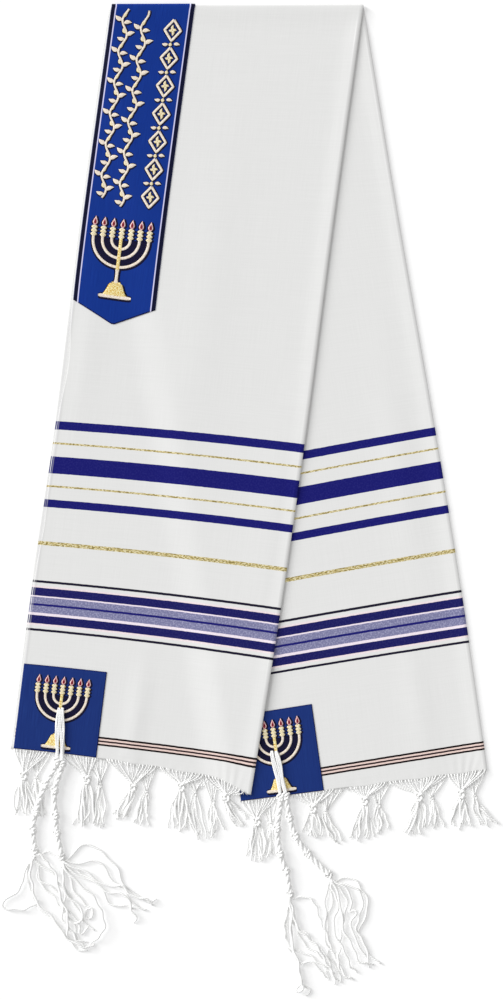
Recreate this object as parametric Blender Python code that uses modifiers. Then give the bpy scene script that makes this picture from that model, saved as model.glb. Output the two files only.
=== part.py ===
"""A fringed prayer shawl, folded in half lengthwise and then crosswise, lying flat on a surface.

The cloth is one woven panel. It is first folded lengthwise, so that each half is a pair of layers with
a soft fold along its right side and free edges along its left. The pair is then folded over a crease
at the top. The front half runs down to the left and lies on the back half, which runs down to the right.
All sizes are in millimetres and become metres when a mesh is made. The surface it lies on is z = 0.
"""

import math
from collections import namedtuple

import bmesh
import bpy
import numpy as np

MM = 0.001

# Cloth: walls, and the gap between neighbours
WALL = 1.0
GAP = 0.3
LAYER_GAP = 0.4
PAIR = 2 * WALL + GAP

# Lengthwise fold: height of the pair at its rounded side, and how far the rise fades inwards
FOLD_PAIR = 3.4
FOLD_FADE = 12.0
LIP = 20.0
FOLD_TURNS = (50.0, 17.0, -17.0, -50.0)
LIP_MIDDLE = 7.0
JUST_INSIDE = 1.0

# Crosswise crease: outer radius, height, the flatter pair there, and how far the rise fades
CREASE_RADIUS = 3.1
CREASE_TOP = 2 * CREASE_RADIUS
CREASE_PAIR = 2.7
CREASE_FADE = 16.0
CREASE_START = 5.0
CREASE_LENGTHENING = 40.0
CREASE_TAIL = 1.5
CREASE_STEP = 30.0

# The crease is tighter where the neckband goes round under it, and eases beside it
BAND_EASE = 20.0
BAND_EASING = 15.0

# The front half climbs on to the back half over this distance, and on to its corner patch over another,
# which starts well before the patch
CLIMB = 45.0
PATCH_CLIMB = 40.0
PATCH_CLIMB_START = 85.0

# Sewn-on pieces: the band's end is given as the hem distances of its columns, its point in the middle
BAND_WIDTH = 99.0
BAND_ENDS = (536.5, 523.0, 509.0, 519.0, 529.5)
PATCH_WIDTH = 98.0
PATCH_HEIGHT = 102.0
EDGE_MARGIN = 1.2

PATCH_POINTS = 5

# Strip that the fringe hangs from: it lies just outside the hem, and starts just inside its end
STRIP_RADIUS = 0.5
STRIP_CLEARANCE = 0.15
TOP_STRIP = 0.4
UNDER_STRIP = 0.7

# Fringe: gathered threads end a little above the knot, and outer locks start and end a little off it
FAN_RADIUS = 0.45
FAN_BOW = 0.12
FAN_END = (0.8, 0.2)
ROOT_SPREAD = 1.6
LOCK_TIP = 0.7
LOCK_TAPER = 0.9
LOCK_BOWS = (1.5, 2.2)
LOCK_STOPS = (0.3, 0.65)
LOCK_START_DROP = 0.6
LOCK_END_RISE = 3.0
LOCK_REST = 0.2

# Corner tassels: cord, knots as radius and height, and loose threads that leave the last knot in a
# ring and lie apart, each with its own sway and length
CORD_RADIUS = 1.7
CORD_POINTS = 16
FIRST_KNOT = (3.1, 2.4)
CORD_KNOT = (2.4, 2.1)
THREADS = 8
THREAD_RADIUS = 0.65
THREAD_POINTS = 7
RING_RADIUS = 0.9
RING_TURN = 2.4
RING_RISE = 0.4
SWAY = 1.5
SWAY_STEP = 2.3
END_SHIFT = 4.0
END_SHIFT_STEP = 1.7

# Balls that stand for knots, the weld that closes the ends of strands, and shading of sharp edges
KNOT_SEGMENTS = 6
KNOT_RINGS = 4
WELD_DISTANCE = 0.001
SHARP_ANGLE = 50.0

# Places at which an edge and the start of the back half's upper layer are looked up
EDGE_SAMPLES = 60
START_SAMPLES = 400

# Points of a section over its upper layer, and the hem distances of the sections
UPPER_COLUMNS = 12
BAND_COLUMNS = 5
ROW_DISTANCES = (0.0, 51.0, 102.0, 150.0, 201.0, 260.0, 325.0, 390.0, 455.0, 509.0, 540.0, 595.0,
                 655.0, 715.0, 775.0, 825.0, 858.0, 878.0)

# Steps of the hidden layers' free edges, out from the edge of the front half, and how far the back
# half's upper layer reaches past the edge of the hidden layers
EDGE_STEPS = (-2.0, -1.1, -1.0, -0.1)
LIP_OVERLAP = 1.5

# Hidden layers at the crease: a step of almost no depth, then a bend; and the grid under the back half
FILLING_STEP = 0.1
FILLING_TURNS = (0.0, 35.0, 70.0)
BACK_FILLING_SHORT = 2.0
BACK_FILLING_ROWS = 14
BACK_FILLING_COLUMNS = 6

# Rows of each half, by distance from the hem: where its free edge and its fold lie, and how far the
# middle of the row bows towards the crease
Row = namedtuple("Row", "hem_distance left_x left_y right_x right_y bow")
FRONT_ROWS = (
    Row(0.0, -280.0, -291.2, -1.7, -332.9, 4.0),
    Row(201.0, -255.2, -95.1, 31.3, -127.6, 2.0),
    Row(390.0, -228.5, 89.0, 58.6, 62.1, 2.0),
    Row(640.0, -199.0, 329.3, 91.6, 316.3, 0.0),
    Row(892.0, -166.0, 571.5, 127.0, 572.5, 0.0),
)
BACK_ROWS = (
    Row(0.0, -16.0, -352.6, 270.9, -315.5, 0.0),
    Row(201.0, -44.0, -157.6, 240.7, -108.5, 1.0),
    Row(390.0, -74.6, 31.0, 209.4, 84.1, 1.0),
    Row(640.0, -120.1, 300.2, 167.3, 327.3, 0.0),
    Row(892.0, -166.0, 571.5, 127.0, 572.5, 0.0),
)
PANEL_LENGTH = FRONT_ROWS[-1].hem_distance
BACK_END = PANEL_LENGTH - 5.0

# The front's corner by its fold droops past the rest of its hem: how far, from how far in, how high up
DROOP = (-1.8, -10.5)
DROOP_REACH = 42.0
DROOP_HEIGHT = 40.0

Panel = namedtuple("Panel", "distances places points")

# Soft ridges and hollows of the cloth: middle, half length along the panel, half width, height.
# They lean with the half that they are on, start some way in from a free edge and end before a fold.
FRONT_LEAN = 0.14
BACK_LEAN = -0.16
EDGE_FADE = 25.0
FOLD_CLEAR = 4.0
FOLD_CLEARING = 20.0
Ripple = namedtuple("Ripple", "x y length width height")
RIPPLES = (
    Ripple(-137.0, -255.0, 60.0, 11.0, 1.1),
    Ripple(-60.0, 210.0, 190.0, 30.0, 0.8),
    Ripple(-195.0, 180.0, 110.0, 22.0, 0.7),
    Ripple(20.0, -40.0, 130.0, 24.0, 0.7),
    Ripple(170.0, 30.0, 120.0, 20.0, 0.9),
    Ripple(190.0, -235.0, 70.0, 16.0, 0.9),
)

# Where the under layer peeks out past the free edge of the front: middle, half length, amount
Peek = namedtuple("Peek", "hem_distance reach amount")
PEEKS = (
    Peek(460.0, 48.0, 5.0),
    Peek(268.0, 40.0, 3.0),
)

# Fringe tassels: the stretch of hem that each gathers, its knot, and where its locks end
Tassel = namedtuple("Tassel", "hem_from hem_to knot_x knot_y end_x end_y spread")
FRONT_TOP = (
    Tassel(-278.0, -240.0, -266.8, -321.3, -265.5, -370.0, 9.0),
    Tassel(-221.0, -183.0, -193.7, -326.0, -195.0, -382.8, 9.0),
    Tassel(-171.0, -114.0, -140.4, -335.2, -156.0, -373.5, 8.0),
    Tassel(-109.0, -60.0, -84.0, -334.5, -86.0, -388.4, 10.0),
    Tassel(-56.0, -12.0, -32.5, -346.8, -15.5, -383.0, 8.0),
)
FRONT_UNDER = (
    Tassel(-262.0, -236.0, -252.0, -326.0, -248.0, -371.0, 5.0),
    Tassel(-196.0, -166.0, -178.5, -333.0, -176.5, -383.0, 4.0),
    Tassel(-138.0, -112.0, -125.0, -342.0, -131.0, -380.0, 6.0),
    Tassel(-82.0, -50.0, -68.5, -343.0, -63.0, -396.7, 6.0),
    Tassel(-60.0, -38.0, -47.5, -352.0, -47.5, -394.4, 6.0),
)
BACK_TOP = (
    Tassel(-13.0, 25.0, 3.6, -374.5, 3.8, -422.2, 8.0),
    Tassel(46.0, 92.0, 68.4, -359.3, 69.6, -396.4, 9.0),
    Tassel(112.0, 152.0, 128.3, -350.6, 125.4, -399.0, 10.0),
    Tassel(157.0, 222.0, 191.6, -346.1, 185.9, -392.1, 10.0),
    Tassel(225.0, 268.0, 240.3, -342.9, 239.1, -384.0, 9.0),
)
BACK_UNDER = (
    Tassel(8.0, 32.0, 18.5, -378.0, 20.5, -418.0, 5.0),
    Tassel(70.0, 104.0, 83.0, -364.0, 98.8, -402.5, 6.0),
    Tassel(130.0, 158.0, 144.5, -356.0, 147.0, -393.0, 5.0),
    Tassel(192.0, 224.0, 206.5, -350.0, 213.4, -385.1, 7.0),
    Tassel(246.0, 268.0, 256.0, -347.0, 273.0, -382.0, 8.0),
)

# How each kind of fringe is made: where it ends short of the fold, threads and locks of a tassel,
# heights of the knot and of the lock ends, and sizes of the locks and knots
FringeSizes = namedtuple(
    "FringeSizes", "short fan locks knot_z end_z lock_radius knot_radius knot_height")
TOP_SIZES = FringeSizes(3.0, 5, 6, 3.7, 1.9, 1.5, 4.6, 3.0)
UNDER_SIZES = FringeSizes(LIP + 4.0, 2, 3, 1.5, 1.1, 0.85, 3.4, 1.2)

# Corner tassels: knots from the eyelet down the wound cord, then the lie of the loose threads
Stop = namedtuple("Stop", "x y z")
CORNER_TASSELS = {
    "tzitzit_front_outer": (
        (Stop(-226.4, -243.0, 5.6), Stop(-227.4, -275.0, 5.7), Stop(-228.0, -305.0, 6.6),
         Stop(-242.4, -332.9, 5.4), Stop(-252.9, -364.2, 5.3), Stop(-256.4, -385.0, 3.2),
         Stop(-254.0, -408.3, 2.4)),
        (Stop(-257.0, -435.0, 1.6), Stop(-240.0, -480.0, 1.3), Stop(-203.0, -525.0, 1.2)),
        (14.0, 30.0, 16.0),
    ),
    "tzitzit_front_inner": (
        (Stop(-221.6, -243.0, 5.6), Stop(-222.4, -275.0, 5.7), Stop(-222.0, -307.0, 6.6),
         Stop(-231.0, -338.7, 5.4), Stop(-230.0, -367.7, 5.3), Stop(-228.5, -388.0, 3.2),
         Stop(-223.0, -415.0, 2.4)),
        (Stop(-200.0, -424.0, 1.6), Stop(-160.0, -446.0, 1.3), Stop(-124.0, -484.0, 1.2)),
        (6.0, 17.0, 19.0),
    ),
    "tzitzit_back_outer": (
        (Stop(20.6, -293.0, 5.6), Stop(26.4, -320.0, 5.7), Stop(31.0, -347.0, 6.6),
         Stop(26.8, -382.8, 5.4), Stop(30.2, -411.8, 5.2), Stop(37.1, -431.5, 3.2),
         Stop(41.8, -458.2, 2.4)),
        (Stop(42.0, -480.0, 1.6), Stop(52.0, -522.0, 1.3), Stop(74.0, -573.0, 1.2)),
        (6.0, 16.0, 17.0),
    ),
    "tzitzit_back_inner": (
        (Stop(25.6, -293.0, 5.6), Stop(31.6, -320.0, 5.7), Stop(37.0, -345.0, 6.6),
         Stop(41.0, -370.0, 5.4), Stop(48.0, -391.0, 5.2), Stop(62.3, -411.8, 3.2),
         Stop(86.7, -436.2, 2.4)),
        (Stop(108.0, -452.0, 1.6), Stop(112.0, -500.0, 1.3), Stop(124.0, -553.0, 1.2)),
        (11.0, 19.0, 24.0),
    ),
}

COLOURS = {
    "white cloth": ((0.84, 0.84, 0.83), 0.85),
    "blue satin": ((0.024, 0.055, 0.28), 0.55),
    "white cotton thread": ((0.88, 0.88, 0.86), 0.9),
}


def clear_scene():
    """Remove what the file starts with, so that only the shawl is in it."""
    for item in list(bpy.data.objects):
        bpy.data.objects.remove(item)


def collection(name):
    group = bpy.data.collections.new(name)
    bpy.context.scene.collection.children.link(group)
    return group


def material(name):
    colour, roughness = COLOURS[name]
    made = bpy.data.materials.get(name)
    if made is None:
        made = bpy.data.materials.new(name)
        made.use_nodes = True
        shader = made.node_tree.nodes["Principled BSDF"]
        shader.inputs["Base Color"].default_value = (*colour, 1.0)
        shader.inputs["Roughness"].default_value = roughness
        shader.inputs["Metallic"].default_value = 0.0
    return made


def smooth_step(value):
    held = np.clip(value, 0.0, 1.0)
    return held * held * (3.0 - 2.0 * held)


def along(rows, column, distance):
    """One column of a row table at any hem distance, on a smooth curve through the rows."""
    knots = np.array([row.hem_distance for row in rows])
    values = np.array([getattr(row, column) for row in rows])
    slopes = np.gradient(values, knots)
    place = np.clip(np.searchsorted(knots, distance) - 1, 0, len(knots) - 2)
    span = knots[place + 1] - knots[place]
    part = (distance - knots[place]) / span
    rise = values[place + 1] - values[place]
    blend = part * part * (3.0 - 2.0 * part)
    start = part * (1.0 - part) ** 2 * span * slopes[place]
    end = part * part * (part - 1.0) * span * slopes[place + 1]
    return values[place] + blend * rise + start + end


def row_ends(rows, distance):
    """Both ends of the row at one hem distance, as plan points."""
    left = np.array([along(rows, "left_x", distance), along(rows, "left_y", distance)])
    right = np.array([along(rows, "right_x", distance), along(rows, "right_y", distance)])
    return left, right


def edge_x(rows, side, y):
    """X of a panel's left or right edge at the given y."""
    distance = np.linspace(0.0, PANEL_LENGTH, EDGE_SAMPLES)
    xs = along(rows, side + "_x", distance)
    ys = along(rows, side + "_y", distance)
    return np.interp(y, ys, xs)


def crease_y(x):
    """Y of the crease's outermost line at the given x."""
    row = FRONT_ROWS[-1]
    return np.interp(x, (row.left_x, row.right_x), (row.left_y, row.right_y))


def ripple(x, y):
    """Sum of the soft ridges, each a long low bump along its panel."""
    total = np.zeros_like(x)
    for fold in RIPPLES:
        lean = FRONT_LEAN if fold.x < edge_x(FRONT_ROWS, "right", fold.y) else BACK_LEAN
        across = (x - fold.x) - lean * (y - fold.y)
        total += fold.height * np.exp(-(across / fold.width) ** 2 - ((y - fold.y) / fold.length) ** 2)
    return total


def fold_pair(y):
    """Height of a pair of layers at its rounded side: flatter where the crease presses it."""
    away = smooth_step((crease_y(0.0) - y - CREASE_START) / CREASE_LENGTHENING)
    return CREASE_PAIR + (FOLD_PAIR - CREASE_PAIR) * away


def pair_height(inside, y):
    """Height of a pair of layers at a distance inside its rounded side."""
    rise = fold_pair(y) - PAIR
    return PAIR + rise * np.exp(-(np.maximum(inside - fold_pair(y) / 2, 0.0) / FOLD_FADE) ** 2)


def back_top(x, y):
    """Height of the back half's upper surface."""
    inside = edge_x(BACK_ROWS, "right", y) - x
    free = edge_x(FRONT_ROWS, "right", y)
    shown = smooth_step((x - free - CREASE_TAIL) / EDGE_FADE)
    clear = smooth_step((inside - FOLD_CLEAR) / FOLD_CLEARING)
    return pair_height(inside, y) + ripple(x, y) * shown * clear


def near_crease(x, y):
    """One at the start of the crease's bend, fading to nothing down the panel."""
    away = crease_y(x) - CREASE_RADIUS - y
    return np.exp(-(np.maximum(away, 0.0) / CREASE_FADE) ** 2)


def front_base(x, y):
    """Height of what the front half lies on: the surface, or the back half and its corner patch."""
    on_back = smooth_step(1.0 + (x - edge_x(BACK_ROWS, "left", y)) / CLIMB)
    patch_top = BACK_ROWS[0].left_y + PATCH_HEIGHT
    patch = (WALL + GAP) * smooth_step((patch_top + PATCH_CLIMB_START - y) / PATCH_CLIMB)
    return on_back * (back_top(x, y) + LAYER_GAP + patch)


def front_top(x, y):
    """Height of the front half's upper surface."""
    inside = edge_x(FRONT_ROWS, "right", y) - x
    shown = smooth_step((x - edge_x(FRONT_ROWS, "left", y)) / EDGE_FADE)
    clear = smooth_step((inside - FOLD_CLEAR) / FOLD_CLEARING)
    lying = front_base(x, y) + pair_height(inside, y) + ripple(x, y) * shown * clear
    bend = near_crease(x, y)
    return lying * (1.0 - bend) + CREASE_TOP * bend


def front_lip(x, y):
    """Height of the underside of the front half next to its rounded side."""
    bend = near_crease(x, y)
    return front_base(x, y) * (1.0 - bend) + (CREASE_TOP - CREASE_PAIR) * bend


def peek(distance):
    """How far the front's upper layer lies in from the edge of the layer beneath it."""
    return sum(one.amount * np.exp(-((distance - one.hem_distance) / one.reach) ** 2) for one in PEEKS)


def bend_radius(x):
    """Outer radius of the cloth at the crease: smaller where the neckband goes round under it."""
    band_edge = FRONT_ROWS[-1].left_x + BAND_WIDTH
    spare = (WALL + GAP) / 2
    return CREASE_RADIUS - spare * smooth_step((band_edge + BAND_EASE - x) / BAND_EASING)


def droop(rows, distance, from_fold):
    """Share of the droop at a place on a row: only the front's hem has it, near its fold."""
    if rows is not FRONT_ROWS:
        return 0.0 * from_fold
    near_hem = np.clip(1.0 - distance / DROOP_HEIGHT, 0.0, 1.0) ** 2
    return near_hem * smooth_step(1.0 - from_fold / DROOP_REACH)


def row_point(rows, distance, inward):
    """Plan points on one row, at distances in from its left edge."""
    left, right = row_ends(rows, distance)
    width = np.hypot(*(right - left))
    share = np.asarray(inward, dtype=float) / width
    bow = along(rows, "bow", distance) * 4.0 * share * (1.0 - share)
    low = droop(rows, distance, width * (1.0 - share))
    x = left[0] + share * (right[0] - left[0]) + low * DROOP[0]
    y = left[1] + share * (right[1] - left[1]) + bow + low * DROOP[1]
    return x, y


def upper_places(start, width, radius):
    """Places of a section's points over its upper layer, in from the left edge of the pair."""
    inner = width - LIP - GAP
    if start > BAND_WIDTH:
        return start + (width - radius - start) * np.linspace(0.0, 1.0, UPPER_COLUMNS)
    left = np.linspace(start, BAND_WIDTH, BAND_COLUMNS)
    middle = np.linspace(BAND_WIDTH, inner, UPPER_COLUMNS - BAND_COLUMNS - 1)[1:]
    return np.concatenate((left, middle, (inner + LIP / 2, width - radius)))


def section(rows, distance, start, top, lip):
    """Outer line of a pair across one row: over the top, round the fold and back under the lip."""
    left, right = row_ends(rows, distance)
    width = np.hypot(*(right - left))
    way = (right - left) / width
    right = right + droop(rows, distance, 0.0) * np.array(DROOP)
    high = float(top(right[0] - JUST_INSIDE, right[1]))
    low = float(lip(right[0] - JUST_INSIDE, right[1]))
    radius = (high - low) / 2
    places = upper_places(start, width, radius)
    x, y = row_point(rows, distance, places)
    over = np.column_stack((x, y, top(x, y)))
    over[-1, 2] = high
    turn = np.radians(np.array(FOLD_TURNS))
    middle = right - way * radius
    round_fold = np.column_stack((
        middle[0] + way[0] * radius * np.cos(turn),
        middle[1] + way[1] * radius * np.cos(turn),
        (high + low) / 2 + radius * np.sin(turn),
    ))
    back = width - radius - np.array((0.0, LIP_MIDDLE, LIP - radius))
    x, y = row_point(rows, distance, back)
    under = np.column_stack((x, y, lip(x, y)))
    under[0, 2] = low
    return places, np.vstack((over, round_fold, under))


def panel(rows, distances, start, top, lip):
    """A half's sections, with the hem distance of each and the places of its upper points."""
    made = [section(rows, distance, start(distance), top, lip) for distance in distances]
    places = np.array([one[0] for one in made])
    points = np.array([one[1] for one in made])
    return Panel(np.array(distances), places, points)


def on_panel(made, distance, inward):
    """Points on a half's upper layer: between its section points, and between its sections."""
    row = min(int(np.searchsorted(made.distances, distance, side="right")) - 1, len(made.distances) - 2)
    part = (distance - made.distances[row]) / (made.distances[row + 1] - made.distances[row])
    lines = []
    for number in (row, row + 1):
        places = made.places[number]
        points = made.points[number, :len(places)]
        lines.append(np.column_stack([np.interp(inward, places, points[:, axis]) for axis in range(3)]))
    return lines[0] * (1.0 - part) + lines[1] * part


def bend_over(line, lift=0.0):
    """The last section of the front, turned about the crease's axis and laid on the surface."""
    radius = bend_radius(line[:, 0])
    axis_y = crease_y(line[:, 0]) - radius
    axis_z = CREASE_TOP - radius
    reach = line[:, 2] + lift - axis_z
    turned = []
    for turn in np.radians(np.arange(0.0, 180.0 + CREASE_STEP / 2, CREASE_STEP)):
        y = axis_y + reach * math.sin(turn)
        z = axis_z + reach * math.cos(turn)
        turned.append(np.column_stack((line[:, 0], y, z)))
    tail = turned[-1].copy()
    tail[:, 1] = crease_y(line[:, 0]) - CREASE_RADIUS - CREASE_TAIL
    turned.append(tail)
    return turned


def grid_mesh(rows, columns):
    """A flat grid whose vertices are found by row and column."""
    grid = bmesh.new()
    bmesh.ops.create_grid(grid, x_segments=columns - 1, y_segments=rows - 1, size=1.0)
    return grid


def cell(vertex, rows, columns):
    column = round((vertex.co.x + 1.0) / 2.0 * (columns - 1))
    row = round((vertex.co.y + 1.0) / 2.0 * (rows - 1))
    return row, column


def new_object(name, mesh, finish, group):
    made = bpy.data.objects.new(name, mesh)
    mesh.materials.append(material(finish))
    mesh.shade_smooth()
    mesh.set_sharp_from_angle(angle=math.radians(SHARP_ANGLE))
    group.objects.link(made)
    return made


def wall(name, points, finish, group):
    """A cloth wall: a grid laid on the given outer points, then thickened inwards."""
    rows, columns = points.shape[:2]
    grid = grid_mesh(rows, columns)
    for vertex in grid.verts:
        vertex.co = points[cell(vertex, rows, columns)] * MM
    mesh = bpy.data.meshes.new(name)
    grid.to_mesh(mesh)
    grid.free()
    made = new_object(name, mesh, finish, group)
    thick = made.modifiers.new("Wall", "SOLIDIFY")
    thick.thickness = WALL * MM
    thick.offset = -1.0
    return made


def slab_mesh(name, lower, upper):
    """A closed body between two point grids: a grid on the lower one, extruded to the upper one."""
    rows, columns = lower.shape[:2]
    grid = grid_mesh(rows, columns)
    raised = bmesh.ops.extrude_face_region(grid, geom=grid.faces[:], use_keep_orig=True)["geom"]
    tops = {item for item in raised if isinstance(item, bmesh.types.BMVert)}
    for vertex in grid.verts:
        points = upper if vertex in tops else lower
        vertex.co = points[cell(vertex, rows, columns)] * MM
    bmesh.ops.recalc_face_normals(grid, faces=grid.faces[:])
    mesh = bpy.data.meshes.new(name)
    grid.to_mesh(mesh)
    grid.free()
    return mesh


def front_cloth(front, group):
    """Upper layer of the front half, round its lengthwise fold and over the crease."""
    last = front.points[-1].copy()
    last[:, 1] = crease_y(last[:, 0]) - bend_radius(last[:, 0])
    points = np.concatenate((front.points[:-1], bend_over(last)))
    return wall("front_cloth", points, "white cloth", group)


def back_start(distance):
    """Where the back half's upper layer starts on a row: under the front's lip, or at its own edge."""
    left, right = row_ends(BACK_ROWS, distance)
    inward = np.linspace(0.0, np.hypot(*(right - left)), START_SAMPLES)
    x, y = row_point(BACK_ROWS, distance, inward)
    hidden = x < edge_x(FRONT_ROWS, "right", y) - LIP + LIP_OVERLAP
    return inward[np.count_nonzero(hidden)]


def front_filling(front):
    """The layers hidden under the front half, as one body on the surface, stepped at the free edge."""
    lower = []
    upper = []
    covered = UPPER_COLUMNS - 2
    for distance, places, points in zip(front.distances, front.places, front.points):
        at = min(distance, PANEL_LENGTH - CREASE_RADIUS - CREASE_TAIL - GAP)
        x, y = row_point(FRONT_ROWS, at, np.append(EDGE_STEPS, places[0] / 2))
        edge = np.column_stack((x, y, front_top(x, y)))
        line = np.vstack((edge, on_panel(front, at, places[:covered])))
        if distance == PANEL_LENGTH:
            line[:, 1] = crease_y(line[:, 0]) - CREASE_RADIUS - CREASE_TAIL - GAP
        line[:, 2] -= WALL + GAP
        line[:2, 2] = np.minimum(line[:2, 2], WALL)
        line[2:4, 2] = np.minimum(line[2:4, 2], PAIR)
        lower.append(line * (1.0, 1.0, 0.0))
        upper.append(line)
    x, y, stairs = line.T
    radius = bend_radius(x) - WALL - GAP
    axis_y = crease_y(x) - bend_radius(x)
    axis_z = CREASE_TOP - bend_radius(x)
    stairs = np.maximum(stairs, axis_z - radius + WALL / 2)
    upper[-1] = np.column_stack((x, y, stairs))
    lower.append(np.column_stack((x, y + FILLING_STEP, axis_z - radius)))
    upper.append(np.column_stack((x, y + FILLING_STEP, stairs)))
    for turn in np.radians(FILLING_TURNS):
        reach = radius * math.sin(turn)
        rise = radius * math.cos(turn)
        high = np.maximum(np.minimum(axis_z + rise, stairs), axis_z - rise + WALL / 4)
        lower.append(np.column_stack((x, axis_y + reach, axis_z - rise)))
        upper.append(np.column_stack((x, axis_y + reach, high)))
    return slab_mesh("front_filling", np.array(lower), np.array(upper))


def back_filling():
    """The layer hidden under the back half."""
    lower = []
    upper = []
    for distance in np.linspace(0.0, BACK_END - BACK_FILLING_SHORT, BACK_FILLING_ROWS):
        left, right = row_ends(BACK_ROWS, distance)
        width = np.hypot(*(right - left))
        inward = np.linspace(0.0, width - LIP - GAP, BACK_FILLING_COLUMNS)
        x, y = row_point(BACK_ROWS, distance, inward)
        lower.append(np.column_stack((x, y, 0.0 * x)))
        upper.append(np.column_stack((x, y, 0.0 * x + WALL)))
    return slab_mesh("back_filling", np.array(lower), np.array(upper))


def add_union(made, mesh, cutters):
    """Fuse another mesh, itself made of crossing bodies, into an object."""
    helper = bpy.data.objects.new(mesh.name, mesh)
    helper.hide_render = True
    helper.display_type = "WIRE"
    cutters.objects.link(helper)
    union = made.modifiers.new("Union", "BOOLEAN")
    union.operation = "UNION"
    union.solver = "EXACT"
    union.use_self = True
    union.object = helper


def hidden_layers(front, group, cutters):
    """Every layer that is out of sight between the two halves and under them."""
    made = new_object("hidden_layers", front_filling(front), "white cloth", group)
    add_union(made, back_filling(), cutters)
    return made


def neckband(front, group):
    """The wide ribbon sewn along the free edge of the front, pointed at its end, over the crease."""
    distances = [(distance,) * BAND_COLUMNS for distance in front.distances if distance > max(BAND_ENDS)]
    lines = []
    for across in [BAND_ENDS] + distances:
        inward = np.linspace(peek(across[0]), BAND_WIDTH, BAND_COLUMNS)
        inward[0] += EDGE_MARGIN
        inward[-1] -= EDGE_MARGIN
        line = [on_panel(front, distance, place) for distance, place in zip(across, inward)]
        lines.append(np.vstack(line))
    last = lines.pop()
    last[:, 1] = crease_y(last[:, 0]) - bend_radius(last[:, 0])
    lift = np.array((0.0, 0.0, GAP))
    lower = [line + lift for line in lines] + bend_over(last, GAP)
    lift = np.array((0.0, 0.0, GAP + WALL))
    upper = [line + lift for line in lines] + bend_over(last, GAP + WALL)
    mesh = slab_mesh("neckband", np.array(lower), np.array(upper))
    return new_object("neckband", mesh, "blue satin", group)


def corner_patch(name, made, start, group):
    """A square of ribbon cloth sewn on a corner, made from the panel's own points, moved out."""
    lines = []
    for distance in np.linspace(EDGE_MARGIN, PATCH_HEIGHT, PATCH_POINTS):
        inward = np.linspace(start(distance) + EDGE_MARGIN, PATCH_WIDTH, PATCH_POINTS)
        lines.append(on_panel(made, distance, inward))
    points = np.array(lines)
    lower = points + (0.0, 0.0, GAP)
    upper = points + (0.0, 0.0, GAP + WALL)
    return new_object(name, slab_mesh(name, lower, upper), "blue satin", group)


def strand_section():
    """A triangle, the cross-section of every strand."""
    curve = bpy.data.curves.new("strand_section", "CURVE")
    spline = curve.splines.new("POLY")
    spline.points.add(2)
    spline.use_cyclic_u = True
    for number, point in enumerate(spline.points):
        turn = 2.0 * math.pi * number / 3
        point.co = (MM * math.cos(turn), MM * math.sin(turn), 0.0, 1.0)
    return bpy.data.objects.new("strand_section", curve)


def tube_mesh(name, paths, profile=None):
    """Tubes as a mesh, one for each path of (x, y, z, radius) points: three-sided where a profile
    is given, and four-sided otherwise."""
    curve = bpy.data.curves.new(name, "CURVE")
    curve.dimensions = "3D"
    if profile is None:
        curve.bevel_depth = MM
        curve.bevel_resolution = 0
    else:
        curve.bevel_mode = "OBJECT"
        curve.bevel_object = profile
    curve.use_fill_caps = True
    for path in paths:
        spline = curve.splines.new("POLY")
        spline.points.add(len(path) - 1)
        for point, (x, y, z, radius) in zip(spline.points, path):
            point.co = (x * MM, y * MM, z * MM, 1.0)
            point.radius = radius
    holder = bpy.data.objects.new(name, curve)
    bpy.context.scene.collection.objects.link(holder)
    depsgraph = bpy.context.evaluated_depsgraph_get()
    mesh = bpy.data.meshes.new_from_object(holder.evaluated_get(depsgraph))
    bpy.data.objects.remove(holder)
    mesh.name = name
    return mesh


def add_knots(mesh, knots):
    """Weld the strands' caps and add a flattened ball for each knot (x, y, z, radius, height)."""
    body = bmesh.new()
    body.from_mesh(mesh)
    bmesh.ops.remove_doubles(body, verts=body.verts[:], dist=WELD_DISTANCE * MM)
    for x, y, z, radius, height in knots:
        made = bmesh.ops.create_uvsphere(body, u_segments=KNOT_SEGMENTS, v_segments=KNOT_RINGS, radius=MM)
        ball = made["verts"]
        bmesh.ops.scale(body, verts=ball, vec=(radius, radius, height))
        bmesh.ops.translate(body, verts=ball, vec=(x * MM, y * MM, z * MM))
    bmesh.ops.recalc_face_normals(body, faces=body.faces[:])
    body.to_mesh(mesh)
    body.free()
    return mesh


def spline_through(points, count):
    """Points on a smooth curve through a few given ones."""
    knots = np.arange(len(points), dtype=float)
    values = np.array(points, dtype=float)
    slopes = np.gradient(values, axis=0)
    place = np.linspace(0.0, len(points) - 1.0, count)
    start = np.clip(place.astype(int), 0, len(points) - 2)
    part = (place - knots[start])[:, None]
    blend = part * part * (3.0 - 2.0 * part)
    first = part * (1.0 - part) ** 2 * slopes[start]
    second = part * part * (part - 1.0) * slopes[start + 1]
    return values[start] + blend * (values[start + 1] - values[start]) + first + second


def front_strip(x, y):
    """Height of the strip along the hem of the front's upper layer."""
    return front_top(x, y) - TOP_STRIP


def back_strip(x, y):
    """Height of the strip along the hem of the back's upper layer."""
    return back_top(x, y) - TOP_STRIP


def under_strip(x, y):
    """Height of the strips along the hems of the under layers, which lie on the surface."""
    return UNDER_STRIP + 0.0 * x


def hem_line(made, rows, height, short):
    """Middle line of the narrow strip just outside a hem, beside its panel's own points, as x, y and z.
    It ends short of the fold."""
    width = np.hypot(rows[0].right_x - rows[0].left_x, rows[0].right_y - rows[0].left_y)
    places = made.places[0]
    inner = places[(places > JUST_INSIDE) & (places < width - short - JUST_INSIDE)]
    x, y, _ = on_panel(made, 0.0, np.concatenate(((JUST_INSIDE,), inner, (width - short,)))).T
    return np.column_stack((x, y - GAP - STRIP_RADIUS - STRIP_CLEARANCE, height(x, y)))


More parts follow.
